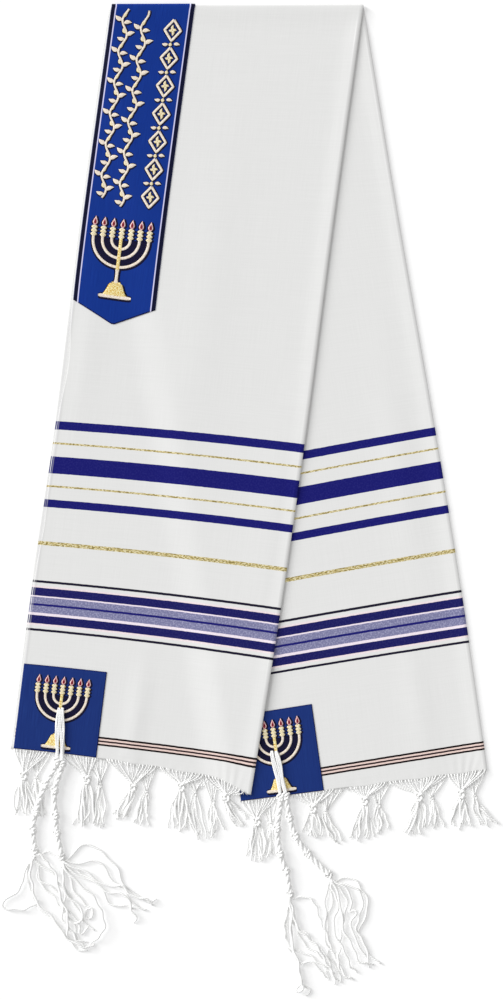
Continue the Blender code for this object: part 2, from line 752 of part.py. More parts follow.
def fan_path(tassel, root, line, knot_z):
    """One gathered thread from the strip to the knot."""
    x = tassel.hem_from + root * (tassel.hem_to - tassel.hem_from)
    start = np.array([x, np.interp(x, line[:, 0], line[:, 1]), np.interp(x, line[:, 0], line[:, 2])])
    knot_x = tassel.knot_x + ROOT_SPREAD * (2.0 * root - 1.0)
    knot = np.array([knot_x, tassel.knot_y + FAN_END[0], knot_z + FAN_END[1]])
    middle = (start + knot) / 2
    middle[0] += FAN_BOW * (start[0] - knot[0])
    return [(*start, FAN_RADIUS), (*middle, FAN_RADIUS), (*knot, FAN_RADIUS)]


def lock_path(tassel, place, knot_z, end_z, radius):
    """One lock below the knot: place runs from -1 to 1 across the tassel."""
    aside = abs(place)
    knot = np.array([tassel.knot_x + ROOT_SPREAD * place, tassel.knot_y - LOCK_START_DROP * aside, knot_z])
    end = np.array([tassel.end_x + place * tassel.spread, tassel.end_y + LOCK_END_RISE * aside, end_z])
    first = knot + (end - knot) * LOCK_STOPS[0]
    first[0] += LOCK_BOWS[0] * place
    second = knot + (end - knot) * LOCK_STOPS[1]
    second[0] += LOCK_BOWS[1] * place
    second[2] = end_z + LOCK_REST
    radii = (radius, radius, radius * LOCK_TAPER, LOCK_TIP)
    return [(*point, size) for point, size in zip((knot, first, second, end), radii)]


def fringe(name, made_panel, rows, tassels, height, sizes, profile, group, cutters):
    """A strip along a hem with its knotted tassels: gathered threads above, loose locks below."""
    line = hem_line(made_panel, rows, height, sizes.short)
    strip = tube_mesh(name + "_strip", [[(x, y, z, STRIP_RADIUS) for x, y, z in line]])
    made = new_object(name, add_knots(strip, []), "white cotton thread", group)
    paths = []
    knots = []
    for tassel in tassels:
        for root in np.linspace(0.0, 1.0, sizes.fan):
            paths.append(fan_path(tassel, root, line, sizes.knot_z))
        for place in np.linspace(-1.0, 1.0, sizes.locks):
            paths.append(lock_path(tassel, place, sizes.knot_z, sizes.end_z, sizes.lock_radius))
        knots.append((tassel.knot_x, tassel.knot_y, sizes.knot_z, sizes.knot_radius, sizes.knot_height))
    add_union(made, add_knots(tube_mesh(name + "_tassels", paths, profile), knots), cutters)
    return made


def thread_path(root, loose, spreads, number):
    """One loose thread: from the ring about the last knot, past each stop at its own distance aside."""
    place = 2.0 * number / (THREADS - 1) - 1.0
    turn = RING_TURN * number
    points = [Stop(root.x + RING_RADIUS * math.cos(turn), root.y + RING_RADIUS * math.sin(turn),
                   root.z + RING_RISE * place)]
    for stop, spread in zip(loose, spreads):
        way = math.atan2(stop.y - root.y, stop.x - root.x)
        aside = place * spread + SWAY * math.sin(SWAY_STEP * number + len(points))
        longer = END_SHIFT * math.cos(END_SHIFT_STEP * number) if stop is loose[-1] else 0.0
        points.append(Stop(stop.x - math.sin(way) * aside, stop.y + math.cos(way) * aside + longer, stop.z))
    return [(*point, THREAD_RADIUS) for point in spline_through(points, THREAD_POINTS)]


def corner_tassel(name, stops, loose, spreads, profile, group, cutters):
    """A corner tassel: doubled threads from the eyelet, a wound and knotted cord, loose threads."""
    cord = spline_through(stops, CORD_POINTS)
    cord_mesh = tube_mesh(name + "_cord", [[(*point, CORD_RADIUS) for point in cord]])
    made = new_object(name, add_knots(cord_mesh, []), "white cotton thread", group)
    knots = [(*stops[2], *FIRST_KNOT)] + [(*stop, *CORD_KNOT) for stop in stops[3:]]
    paths = [thread_path(stops[-1], loose, spreads, number) for number in range(THREADS)]
    add_union(made, add_knots(tube_mesh(name + "_threads", paths, profile), knots), cutters)
    return made


def build():
    clear_scene()
    group = collection("folded_prayer_shawl")
    cutters = collection("helpers")
    profile = strand_section()
    profile.hide_render = True
    profile.display_type = "WIRE"
    cutters.objects.link(profile)
    front = panel(FRONT_ROWS, (*ROW_DISTANCES, PANEL_LENGTH), peek, front_top, front_lip)
    back = panel(BACK_ROWS, (*ROW_DISTANCES, BACK_END), back_start, back_top, lambda x, y: 0.0 * x)
    front_cloth(front, group)
    wall("back_cloth", back.points, "white cloth", group)
    hidden_layers(front, group, cutters)
    neckband(front, group)
    corner_patch("corner_patch_front", front, peek, group)
    corner_patch("corner_patch_back", back, back_start, group)
    for name, made, rows, tassels, height, sizes in (
        ("fringe_front", front, FRONT_ROWS, FRONT_TOP, front_strip, TOP_SIZES),
        ("fringe_front_under", front, FRONT_ROWS, FRONT_UNDER, under_strip, UNDER_SIZES),
        ("fringe_back", back, BACK_ROWS, BACK_TOP, back_strip, TOP_SIZES),
        ("fringe_back_under", back, BACK_ROWS, BACK_UNDER, under_strip, UNDER_SIZES),
    ):
        fringe(name, made, rows, tassels, height, sizes, profile, group, cutters)
    for name, (stops, loose, spreads) in CORNER_TASSELS.items():
        corner_tassel(name, stops, loose, spreads, profile, group, cutters)


build()
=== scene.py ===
# %% [markdown]
# # A folded prayer shawl
# The shawl is one long woven panel, white with navy and gold stripes near both ends. A blue ribbon is
# sewn on as a neckband, blue squares strengthen the corners, the warp ends are knotted into a fringe,
# and a long tassel hangs from an eyelet in each corner. Here it is folded in half lengthwise, then
# over a crease at the top, and lies flat, seen from straight above.
#
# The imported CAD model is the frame: it gives each piece its place and its rough form. This script
# dresses it. Every shape is a formula in two parameters, worked out with numpy in millimetres.

# %% Load the frame
import math
from collections import namedtuple

import bpy
import numpy as np
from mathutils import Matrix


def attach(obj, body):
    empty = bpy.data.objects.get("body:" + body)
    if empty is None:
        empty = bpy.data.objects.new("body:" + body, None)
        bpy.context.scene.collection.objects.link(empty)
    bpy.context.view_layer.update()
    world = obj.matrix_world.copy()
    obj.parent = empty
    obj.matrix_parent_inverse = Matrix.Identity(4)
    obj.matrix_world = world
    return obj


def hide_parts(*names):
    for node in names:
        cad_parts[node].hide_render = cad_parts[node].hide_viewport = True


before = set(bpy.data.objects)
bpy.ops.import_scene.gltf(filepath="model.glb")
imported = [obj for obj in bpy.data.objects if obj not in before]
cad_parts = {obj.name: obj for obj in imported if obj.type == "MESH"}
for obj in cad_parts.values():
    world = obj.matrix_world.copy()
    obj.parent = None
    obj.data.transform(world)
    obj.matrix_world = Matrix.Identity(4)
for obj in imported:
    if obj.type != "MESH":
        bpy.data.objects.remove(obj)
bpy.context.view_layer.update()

# %% [markdown]
# ## A few small helpers
# A mesh in Blender is a list of points and a list of faces that name them. When both come from numpy
# arrays, `foreach_set` copies them in one go, which is far quicker than adding points one at a time.
# The other helpers turn a hex colour into the linear numbers that the shader works with, start a
# material, and add a node with its settings and links in one line.

# %% Helpers for meshes, colours and nodes
MM = 0.001


def add_piece(name, points, faces, materials, corner_uv=None, face_material=None):
    """A mesh object at the origin, from points in mm and four-sided faces, with a UV pair a face corner."""
    mesh = bpy.data.meshes.new(name)
    points = np.asarray(points, dtype=float).reshape(-1, 3) * MM
    faces = np.asarray(faces).reshape(-1, 4)
    mesh.vertices.add(len(points))
    mesh.vertices.foreach_set("co", points.ravel())
    mesh.loops.add(faces.size)
    mesh.loops.foreach_set("vertex_index", faces.ravel())
    mesh.polygons.add(len(faces))
    mesh.polygons.foreach_set("loop_start", np.arange(len(faces)) * 4)
    mesh.polygons.foreach_set("use_smooth", np.ones(len(faces), dtype=bool))
    for material in materials:
        mesh.materials.append(material)
    if face_material is not None:
        mesh.polygons.foreach_set("material_index", face_material)
    mesh.update(calc_edges=True)
    if corner_uv is not None:
        layer = mesh.uv_layers.new(name="cloth_mm")
        layer.data.foreach_set("uv", (np.asarray(corner_uv) * MM).ravel())
    made = bpy.data.objects.new(name, mesh)
    bpy.context.scene.collection.objects.link(made)
    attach(made, "root")
    return made


def hex_colour(code):
    """sRGB hex to linear: c / 12.92 up to 0.04045, and ((c + 0.055) / 1.055) ** 2.4 above it."""
    channels = np.array([int(code[i:i + 2], 16) for i in (0, 2, 4)]) / 255
    linear = np.where(channels <= 0.04045, channels / 12.92, ((channels + 0.055) / 1.055) ** 2.4)
    return (*linear.tolist(), 1.0)


def plug(material, node, inputs):
    """Gives each socket, by name or number, a value or a link from another node's output."""
    for socket, value in inputs.items():
        if isinstance(value, bpy.types.NodeSocket):
            material.node_tree.links.new(value, node.inputs[socket])
        else:
            node.inputs[socket].default_value = value


def add_node(material, kind, inputs=None, **settings):
    """Adds a shader node with its settings and links, and gives back its first output in use."""
    node = material.node_tree.nodes.new("ShaderNode" + kind)
    for setting, value in settings.items():
        setattr(node, setting, value)
    plug(material, node, inputs or {})
    return next(output for output in node.outputs if output.enabled)


def new_material(name):
    """A material, and the shader that it starts with."""
    material = bpy.data.materials.new(name)
    material.use_nodes = True
    return material, material.node_tree.nodes["Principled BSDF"]

# %% [markdown]
# ## Where the cloth lies
# Each half of the folded shawl is described by five straight rows across it. A row gives its distance
# from the hem along the cloth, and where its free edge and its fold lie on the table. Between rows a
# smooth curve runs through them. So any place on the cloth, so far in from its free edge and so far
# up from its hem, has a place on the table, and the same pair of numbers later carries the stripes.

# %% Rows of both halves
Row = namedtuple("Row", "hem_distance left_x left_y right_x right_y bow")
FRONT_ROWS = (
    Row(0.0, -280.0, -291.2, -1.7, -332.9, 4.0),
    Row(201.0, -255.2, -95.1, 31.3, -127.6, 2.0),
    Row(390.0, -228.5, 89.0, 58.6, 62.1, 2.0),
    Row(640.0, -199.0, 329.3, 91.6, 316.3, 0.0),
    Row(892.0, -166.0, 571.5, 127.0, 572.5, 0.0),
)
BACK_ROWS = (
    Row(0.0, -16.0, -352.6, 270.9, -315.5, 0.0),
    Row(201.0, -44.0, -157.6, 240.7, -108.5, 1.0),
    Row(390.0, -74.6, 31.0, 209.4, 84.1, 1.0),
    Row(640.0, -120.1, 300.2, 167.3, 327.3, 0.0),
    Row(892.0, -166.0, 571.5, 127.0, 572.5, 0.0),
)
PANEL_LENGTH = 892.0
BACK_END = 887.0


def smooth_step(value):
    """3 v^2 - 2 v^3 for v held between 0 and 1."""
    held = np.clip(value, 0.0, 1.0)
    return held * held * (3.0 - 2.0 * held)


def along(rows, column, distance):
    """A column of a row table at any hem distances: a cubic through each pair of rows."""
    knots = np.array([row.hem_distance for row in rows])
    values = np.array([getattr(row, column) for row in rows])
    slopes = np.gradient(values, knots)
    place = np.clip(np.searchsorted(knots, distance) - 1, 0, len(knots) - 2)
    span = knots[place + 1] - knots[place]
    part = (distance - knots[place]) / span
    blend = part * part * (3.0 - 2.0 * part)
    start = part * (1.0 - part) ** 2 * span * slopes[place]
    end = part * part * (part - 1.0) * span * slopes[place + 1]
    return values[place] + blend * (values[place + 1] - values[place]) + start + end


def edge_x(rows, side, y):
    """X of a half's left or right edge at any y, read off 60 places along it."""
    distance = np.linspace(0.0, PANEL_LENGTH, 60)
    return np.interp(y, along(rows, side + "_y", distance), along(rows, side + "_x", distance))


# The front's corner by its fold droops past the rest of its hem: how far, from how far in, how high up
DROOP = (-1.8, -10.5)
DROOP_REACH = 42.0
DROOP_HEIGHT = 40.0


def droop(rows, distance, from_fold):
    """Share of the droop at a place: (1 - d / height)^2 up the cloth, a smooth step towards the fold."""
    if rows is not FRONT_ROWS:
        return 0.0 * from_fold
    near_hem = np.clip(1.0 - distance / DROOP_HEIGHT, 0.0, 1.0) ** 2
    return near_hem * smooth_step(1.0 - from_fold / DROOP_REACH)


def row_point(rows, distance, inward):
    """Place on the table of the point so far inward from the free edge, on the row at a distance.

    A straight line from the left end to the right one, bowed by 4 s (1 - s), s being the share of
    the width, and drooping at the front's corner.
    """
    left_x = along(rows, "left_x", distance)
    left_y = along(rows, "left_y", distance)
    run_x = along(rows, "right_x", distance) - left_x
    run_y = along(rows, "right_y", distance) - left_y
    width = np.hypot(run_x, run_y)
    share = inward / width
    bow = along(rows, "bow", distance) * 4.0 * share * (1.0 - share)
    low = droop(rows, distance, width * (1.0 - share))
    return left_x + share * run_x + low * DROOP[0], left_y + share * run_y + bow + low * DROOP[1]


def row_width(rows, distance):
    """Width of a half at a hem distance, from its free edge to its fold."""
    run_x = along(rows, "right_x", distance) - along(rows, "left_x", distance)
    run_y = along(rows, "right_y", distance) - along(rows, "left_y", distance)
    return np.hypot(run_x, run_y)


print("width of the folded front at the hem, mm:", round(float(row_width(FRONT_ROWS, 0.0)), 1))

# %% [markdown]
# ## How high the cloth lies
# The two halves are both doubled, so each is a pair of layers that rises a little at its rounded fold
# and lies flat elsewhere. The front half climbs on to the back half where that begins. Long soft
# ridges, each a low bump in a table, keep the cloth from looking like card. These heights are those of
# the CAD solids, so every new piece sits where its solid does.

# %% Heights of the upper surfaces
WALL = 1.0
GAP = 0.3
LAYER_GAP = 0.4
PAIR = 2 * WALL + GAP
FOLD_PAIR = 3.4
FOLD_FADE = 12.0
LIP = 20.0
CREASE_RADIUS = 3.1
CREASE_TOP = 2 * CREASE_RADIUS
CREASE_PAIR = 2.7
CREASE_FADE = 16.0
CREASE_START = 5.0
CREASE_LENGTHENING = 40.0
CREASE_TAIL = 1.5
BAND_EASE = 20.0
BAND_EASING = 15.0
CLIMB = 45.0
PATCH_CLIMB = 40.0
PATCH_CLIMB_START = 85.0
BAND_WIDTH = 99.0
BAND_ENDS = (536.5, 509.0, 529.5)
BAND_LEAN = 0.08
PATCH_WIDTH = 98.0
PATCH_HEIGHT = 102.0
EDGE_MARGIN = 1.2
EDGE_FADE = 25.0
FOLD_CLEAR = 4.0
FOLD_CLEARING = 20.0

Ripple = namedtuple("Ripple", "x y length width height lean")
RIPPLES = (
    Ripple(-137.0, -255.0, 60.0, 11.0, 1.1, 0.14),
    Ripple(-60.0, 210.0, 190.0, 30.0, 0.8, 0.14),
    Ripple(-195.0, 180.0, 110.0, 22.0, 0.7, 0.14),
    Ripple(20.0, -40.0, 130.0, 24.0, 0.7, 0.14),
    Ripple(170.0, 30.0, 120.0, 20.0, 0.9, -0.16),
    Ripple(190.0, -235.0, 70.0, 16.0, 0.9, -0.16),
)
# Soft bumps of the free edge: how far in, the middle's hem distance, and how fast it fades
PEEKS = ((5.0, 460.0, 48.0), (3.0, 268.0, 40.0))


def crease_y(x):
    """Y of the outermost line of the crosswise crease."""
    row = FRONT_ROWS[-1]
    return np.interp(x, (row.left_x, row.right_x), (row.left_y, row.right_y))


def bend_radius(x):
    """Outer radius of the cloth at the crease: smaller where the neckband goes round outside it."""
    band_edge = FRONT_ROWS[-1].left_x + BAND_WIDTH
    return CREASE_RADIUS - (WALL + GAP) / 2 * smooth_step((band_edge + BAND_EASE - x) / BAND_EASING)


def ripple(x, y):
    """Sum of the ridges: height exp(-(across / width)^2 - (along / length)^2), leaning with the cloth."""
    total = np.zeros(np.broadcast(x, y).shape)
    for fold in RIPPLES:
        across = (x - fold.x) - fold.lean * (y - fold.y)
        total += fold.height * np.exp(-(across / fold.width) ** 2 - ((y - fold.y) / fold.length) ** 2)
    return total


def fold_pair(y):
    """Height of a pair of layers at its fold: a little lower near the crease."""
    away = smooth_step((crease_y(0.0) - y - CREASE_START) / CREASE_LENGTHENING)
    return CREASE_PAIR + (FOLD_PAIR - CREASE_PAIR) * away


def pair_height(inside, y):
    """Height of a pair of layers so far inside its fold: it sinks as exp(-(d / fade)^2)."""
    rise = fold_pair(y) - PAIR
    return PAIR + rise * np.exp(-(np.maximum(inside - fold_pair(y) / 2, 0.0) / FOLD_FADE) ** 2)


def back_top(x, y):
    """Height of the back half's upper surface."""
    inside = edge_x(BACK_ROWS, "right", y) - x
    shown = smooth_step((x - edge_x(FRONT_ROWS, "right", y) - CREASE_TAIL) / EDGE_FADE)
    clear = smooth_step((inside - FOLD_CLEAR) / FOLD_CLEARING)
    return pair_height(inside, y) + ripple(x, y) * shown * clear


def near_crease(x, y):
    """One at the crease's bend, sinking as exp(-(d / fade)^2) down the panel."""
    away = crease_y(x) - CREASE_RADIUS - y
    return np.exp(-(np.maximum(away, 0.0) / CREASE_FADE) ** 2)


def front_base(x, y):
    """Height of what the front half lies on: the table, or the back half and its corner patch."""
    on_back = smooth_step(1.0 + (x - edge_x(BACK_ROWS, "left", y)) / CLIMB)
    patch_top = BACK_ROWS[0].left_y + PATCH_HEIGHT
    patch = (WALL + GAP) * smooth_step((patch_top + PATCH_CLIMB_START - y) / PATCH_CLIMB)
    return on_back * (back_top(x, y) + LAYER_GAP + patch)


def front_top(x, y):
    """Height of the front half's upper surface."""
    inside = edge_x(FRONT_ROWS, "right", y) - x
    shown = smooth_step((x - edge_x(FRONT_ROWS, "left", y)) / EDGE_FADE)
    clear = smooth_step((inside - FOLD_CLEAR) / FOLD_CLEARING)
    lying = front_base(x, y) + pair_height(inside, y) + ripple(x, y) * shown * clear
    bend = near_crease(x, y)
    return lying * (1.0 - bend) + CREASE_TOP * bend


def front_lip(x, y):
    """Height of the underside of the front half beside its fold."""
    bend = near_crease(x, y)
    return front_base(x, y) * (1.0 - bend) + (CREASE_TOP - CREASE_PAIR) * bend


def back_lip(x, y):
    """Beside its fold the back half lies on the table."""
    return np.zeros(np.broadcast(x, y).shape)


def peek(distance):
    """How far the front's upper layer lies in from the edge of the layer under it.

    Sum of reach exp(-((d - middle) / fade)^2).
    """
    return sum(reach * np.exp(-((distance - middle) / fade) ** 2) for reach, middle, fade in PEEKS)


print("height of the front over the back, mm:", round(float(front_top(0.0, -200.0)), 2))

# %% [markdown]
# ## The fringe's places
# A weaver knots the warp ends in bunches. Each row of this table is one bunch: the stretch of hem that
# it gathers, where its knot lies and where its loose end lies. The cloth needs them first, because
# every bunch pulls its stretch of hem down a little and puckers it.

# %% Tassels of the fringe
Tassel = namedtuple("Tassel", "hem_from hem_to knot_x knot_y end_x end_y spread")
FRONT_TOP = (
    Tassel(-278.0, -240.0, -266.8, -321.3, -265.5, -370.0, 9.0),
    Tassel(-221.0, -183.0, -193.7, -326.0, -195.0, -382.8, 9.0),
    Tassel(-171.0, -114.0, -140.4, -335.2, -156.0, -373.5, 8.0),
    Tassel(-109.0, -60.0, -84.0, -334.5, -86.0, -388.4, 10.0),
    Tassel(-56.0, -12.0, -32.5, -346.8, -15.5, -383.0, 8.0),
)
FRONT_UNDER = (
    Tassel(-262.0, -236.0, -252.0, -326.0, -248.0, -371.0, 5.0),
    Tassel(-196.0, -166.0, -178.5, -333.0, -176.5, -383.0, 4.0),
    Tassel(-138.0, -112.0, -125.0, -342.0, -131.0, -380.0, 6.0),
    Tassel(-82.0, -50.0, -68.5, -343.0, -63.0, -396.7, 6.0),
    Tassel(-60.0, -38.0, -47.5, -352.0, -47.5, -394.4, 6.0),
)
BACK_TOP = (
    Tassel(-13.0, 25.0, 3.6, -374.5, 3.8, -422.2, 8.0),
    Tassel(46.0, 92.0, 68.4, -359.3, 69.6, -396.4, 9.0),
    Tassel(112.0, 152.0, 128.3, -350.6, 125.4, -399.0, 10.0),
    Tassel(157.0, 222.0, 191.6, -346.1, 185.9, -392.1, 10.0),
    Tassel(225.0, 268.0, 240.3, -342.9, 239.1, -384.0, 9.0),
)
BACK_UNDER = (
    Tassel(8.0, 32.0, 18.5, -378.0, 20.5, -418.0, 5.0),
    Tassel(70.0, 104.0, 83.0, -364.0, 98.8, -402.5, 6.0),
    Tassel(130.0, 158.0, 144.5, -356.0, 147.0, -393.0, 5.0),
    Tassel(192.0, 224.0, 206.5, -350.0, 213.4, -385.1, 7.0),
    Tassel(246.0, 268.0, 256.0, -347.0, 273.0, -382.0, 8.0),
)
PULL = 1.6
PULL_WIDTH = 13.0
PULL_REACH = 18.0
PUCKER = 0.32
PUCKER_SPACING = 7.5
PUCKER_REACH = 20.0


def hem_pull(tassels, x, distance):
    """How far the hem is drawn down: a bump at each knot, less the mean, fading up the cloth."""
    bumps = sum(np.exp(-((x - one.knot_x) / PULL_WIDTH) ** 2) for one in tassels)
    fade = np.clip(1.0 - distance / PULL_REACH, 0.0, 1.0) ** 2
    return PULL * (bumps - 0.45) * fade


def hem_pucker(tassels, x, distance):
    """Small folds that fan up from each knot: cosines under a bump, fading up the cloth."""
    total = np.zeros(np.broadcast(x, distance).shape)
    for one in tassels:
        across = x - one.knot_x
        spread = 1.0 + distance / (2.0 * PUCKER_REACH)
        wave = np.cos(2.0 * math.pi * across / (PUCKER_SPACING * spread))
        total = total + wave * np.exp(-(across / (PULL_WIDTH * spread)) ** 2)
    return PUCKER * total * np.exp(-(distance / PUCKER_REACH) ** 2)


# %% [markdown]
# ## Fine structure of a weave
# Woven cloth is never one flat colour. Threads vary in thickness, which gives faint streaks along and
# across, and each thread is a tiny ridge. The real threads are 0.4 mm apart, far finer than a pixel, so
# they are drawn here 1.1 mm apart, just coarse enough to soften the light. The pattern is read from the
# cloth's own coordinates in millimetres, so that it bends and folds with it.

# %% Weave and stripes as shader nodes
THREAD_PITCH = 1.1
STREAK_DETAIL = 3.0
STREAK_ROUGHNESS = 0.6


def cloth_axes(material):
    """Outputs in mm: a place on the cloth, and its distances across and along it."""
    place = add_node(material, "UVMap", uv_map="cloth_mm")
    place = add_node(material, "VectorMath", {0: place, 1: (1.0 / MM,) * 3}, operation="MULTIPLY")
    across = add_node(material, "SeparateXYZ", {"Vector": place})
    return place, across, across.node.outputs["Y"]


def streaks(material, place, size_across, size_along, detail=STREAK_DETAIL):
    """Noise stretched along one thread direction: one grain is size_across by size_along mm."""
    scale = (1.0 / size_across, 1.0 / size_along, 1.0)
    stretched = add_node(material, "VectorMath", {0: place, 1: scale}, operation="MULTIPLY")
    return add_node(material, "TexNoise",
                    {"Vector": stretched, "Scale": 1.0, "Detail": detail, "Roughness": STREAK_ROUGHNESS})


def specks(material, place, size_across, size_along, low, high, detail=STREAK_DETAIL):
    """Streaks with more contrast: their value low gives 0 and high gives 1."""
    noise = streaks(material, place, size_across, size_along, detail)
    return add_node(material, "MapRange", {0: noise, 1: low, 2: high})


def thread_ridges(material, across, along_it, pitch):
    """Height of a plain weave: sin(x) times sin(y), one half wave to a thread."""
    waves = []
    for axis in (across, along_it):
        turned = add_node(material, "Math", {0: axis, 1: math.pi / pitch}, operation="MULTIPLY")
        waves.append(add_node(material, "Math", {0: turned}, operation="SINE"))
    return add_node(material, "Math", {0: waves[0], 1: waves[1]}, operation="MULTIPLY")


def within(material, value, low, high, soft=0.25):
    """One between low and high and nothing outside, with edges that fade over soft mm."""
    rise = add_node(material, "Math", {0: value, 1: 1.0 / soft, 2: -low / soft + 0.5},
                    operation="MULTIPLY_ADD", use_clamp=True)
    fall = add_node(material, "Math", {0: value, 1: -1.0 / soft, 2: high / soft + 0.5},
                    operation="MULTIPLY_ADD", use_clamp=True)
    return add_node(material, "Math", {0: rise, 1: fall}, operation="MULTIPLY")


def laid_over(material, ground, *overlays):
    """A colour with others laid over it in turn, each given after its share, which is 0 to 1.

    A colour is a hex code, a linear colour or another node's output.
    """
    ground = hex_colour(ground) if isinstance(ground, str) else ground
    for share, colour in overlays:
        colour = hex_colour(colour) if isinstance(colour, str) else colour
        ground = add_node(material, "Mix", {0: share, 6: ground, 7: colour}, data_type="RGBA")
    return ground

# %% [markdown]
# The stripes are woven in with coloured weft, so they run straight across the panel at fixed distances
# from the hem. The table lists them from the hem up, as on the real cloth: a brown and gold group near
# the hem, a broad navy and grey-blue band, and five thinner navy and gold stripes above. Gold stripes
# carry a flat metallic thread: they are made partly metallic, and light and dark specks are painted on
# them as glints.

# %% Stripe table and the striped cloth
NAVY = "11126C"
NAVY_LOW = "14145C"
THIN_NAVY = "0F0B26"
GREY_BLUE = "7B7BA0"
PALE = "F0E4EE"
PALE_ROSE = "EEDFE2"
GOLD = "CDBB7C"
DARK_BROWN = "0D0508"
MIDDLE_BROWN = "2A191E"
TAN = "E8CFC7"

# Distances from the hem in mm, and how strongly white warp flecks show and gold glints
Stripe = namedtuple("Stripe", "low high colour fleck glint", defaults=(0.0,))
STRIPES = (
    Stripe(14.7, 25.2, TAN, 0.5),
    Stripe(14.7, 16.9, DARK_BROWN, 0.0),
    Stripe(18.9, 20.9, MIDDLE_BROWN, 0.0),
    Stripe(22.9, 25.2, DARK_BROWN, 0.0),
    Stripe(141.6, 144.4, THIN_NAVY, 0.1),
    Stripe(148.4, 150.7, PALE_ROSE, 0.2),
    Stripe(150.5, 160.2, NAVY_LOW, 0.15),
    Stripe(160.2, 183.3, PALE, 0.0),
    Stripe(163.2, 181.7, GREY_BLUE, 1.7),
    Stripe(171.5, 174.0, NAVY, 0.1),
    Stripe(192.5, 194.8, PALE_ROSE, 0.2),
    Stripe(183.3, 192.7, NAVY_LOW, 0.15),
    Stripe(198.6, 201.4, THIN_NAVY, 0.1),
    Stripe(243.0, 247.6, GOLD, 0.6, 1.0),
    Stripe(288.0, 297.2, NAVY, 0.1),
    Stripe(311.8, 314.0, GOLD, 0.5, 1.0),
    Stripe(328.0, 348.2, NAVY, 0.1),
    Stripe(362.8, 365.0, GOLD, 0.5, 1.0),
    Stripe(380.2, 390.2, NAVY, 0.1),
)
WARP_GRAIN = (1.2, 60.0)
WEFT_GRAIN = (60.0, 1.4)
WHITE_LOW = "E3E3E2"
WHITE_HIGH = "E7E7E6"
WANDER_GRAIN = (6.0, 40.0)
WANDER = 0.8
FLECK_GRAIN = (1.7, 2.0, 0.48, 0.62, 1.0)
FLECK_STEP = 0.07
FLECK_GAIN = 1.1
EDGE_SLOPE = 2.5
EDGE_PLACE = -1.6
SELVEDGE_BAND = (1.9, 3.1, 0.6)
SELVEDGE_SHARE = 0.3
SELVEDGE_GREY = "D9D7DC"
# Painted glints on the gold stripes: grain and colour of light specks as painted highlights, then of dark
# specks as painted reflection
PAINTED_GLINT_GRAIN = (2.6, 1.4, 0.5, 0.56, 1.0)
PAINTED_GLINT_COLOUR = "F8EFC8"
PAINTED_DARK_REFLECTION_GRAIN = (3.4, 1.6, 0.52, 0.58, 1.0)
PAINTED_DARK_REFLECTION_COLOUR = "9C8A4E"
GOLD_METAL = 0.45
YARN_ROUGHNESS = 0.85
GOLD_SMOOTHING = -0.4
RIDGE_SHARE = 0.4


def striped_cloth():
    """Plain-woven shawl cloth of matt white yarn with coloured weft stripes.

    To the eye: soft and chalky white with faint streaks, dense dark stripes with pale flecks where
    the white warp crosses, and gold ones that are partly metallic, with painted glints: light and dark
    specks.
    """
    material, shader = new_material("woven_white_cloth_with_weft_stripes")
    place, across, from_hem = cloth_axes(material)
    grain = add_node(material, "Math", {0: streaks(material, place, *WARP_GRAIN),
                                        1: streaks(material, place, *WEFT_GRAIN)}, operation="ADD")
    slub = add_node(material, "MapRange", {0: grain, 1: 0.75, 2: 1.25})
    colour = laid_over(material, WHITE_LOW, (slub, WHITE_HIGH))
    wander = streaks(material, place, *WANDER_GRAIN)
    jitter = add_node(material, "Math", {0: wander, 1: WANDER, 2: -WANDER / 2}, operation="MULTIPLY_ADD")
    level = add_node(material, "Math", {0: from_hem, 1: jitter}, operation="ADD")
    warp_fleck = specks(material, place, *FLECK_GRAIN)
    inside_edge = add_node(material, "Math", {0: across, 1: EDGE_SLOPE, 2: EDGE_PLACE},
                           operation="MULTIPLY_ADD", use_clamp=True)
    glint = 0.0
    for stripe in STRIPES:
        band = add_node(material, "Math", {0: within(material, level, stripe.low, stripe.high),
                                           1: inside_edge}, operation="MULTIPLY")
        tint = hex_colour(stripe.colour)
        lighter = (*(min(1.0, c * FLECK_GAIN + stripe.fleck * FLECK_STEP) for c in tint[:3]), 1.0)
        colour = laid_over(material, colour, (band, laid_over(material, tint, (warp_fleck, lighter))))
        if stripe.glint:
            part = add_node(material, "Math", {0: band, 1: stripe.glint}, operation="MULTIPLY")
            glint = add_node(material, "Math", {0: glint, 1: part}, operation="MAXIMUM")
    selvedge = add_node(material, "Math", {0: within(material, across, *SELVEDGE_BAND),
                                           1: SELVEDGE_SHARE}, operation="MULTIPLY")
    colour = laid_over(material, colour, (selvedge, SELVEDGE_GREY))
    # Paints glints on the gold stripes: light specks as painted highlights, dark specks as painted
    # reflection
    for grain_size, tone in ((PAINTED_GLINT_GRAIN, PAINTED_GLINT_COLOUR), (PAINTED_DARK_REFLECTION_GRAIN, PAINTED_DARK_REFLECTION_COLOUR)):
        part = add_node(material, "Math", {0: specks(material, place, *grain_size), 1: glint},
                        operation="MULTIPLY")
        colour = laid_over(material, colour, (part, tone))
    ridges = thread_ridges(material, across, from_hem, THREAD_PITCH)
    height = add_node(material, "Math", {0: ridges, 1: RIDGE_SHARE, 2: grain}, operation="MULTIPLY_ADD")
    plug(material, shader, {
        "Base Color": colour,
        "Metallic": add_node(material, "Math", {0: glint, 1: GOLD_METAL}, operation="MULTIPLY"),
        "Roughness": add_node(material, "Math", {0: glint, 1: GOLD_SMOOTHING, 2: YARN_ROUGHNESS},
                              operation="MULTIPLY_ADD"),
        "Normal": add_node(material, "Bump", {"Strength": 0.06, "Distance": 0.0003, "Height": height}),
        "IOR": 1.45,
        "Specular IOR Level": 0.2,
    })
    return material


SHAWL_CLOTH = striped_cloth()
print("stripes:", len(STRIPES), "nodes:", len(SHAWL_CLOTH.node_tree.nodes))

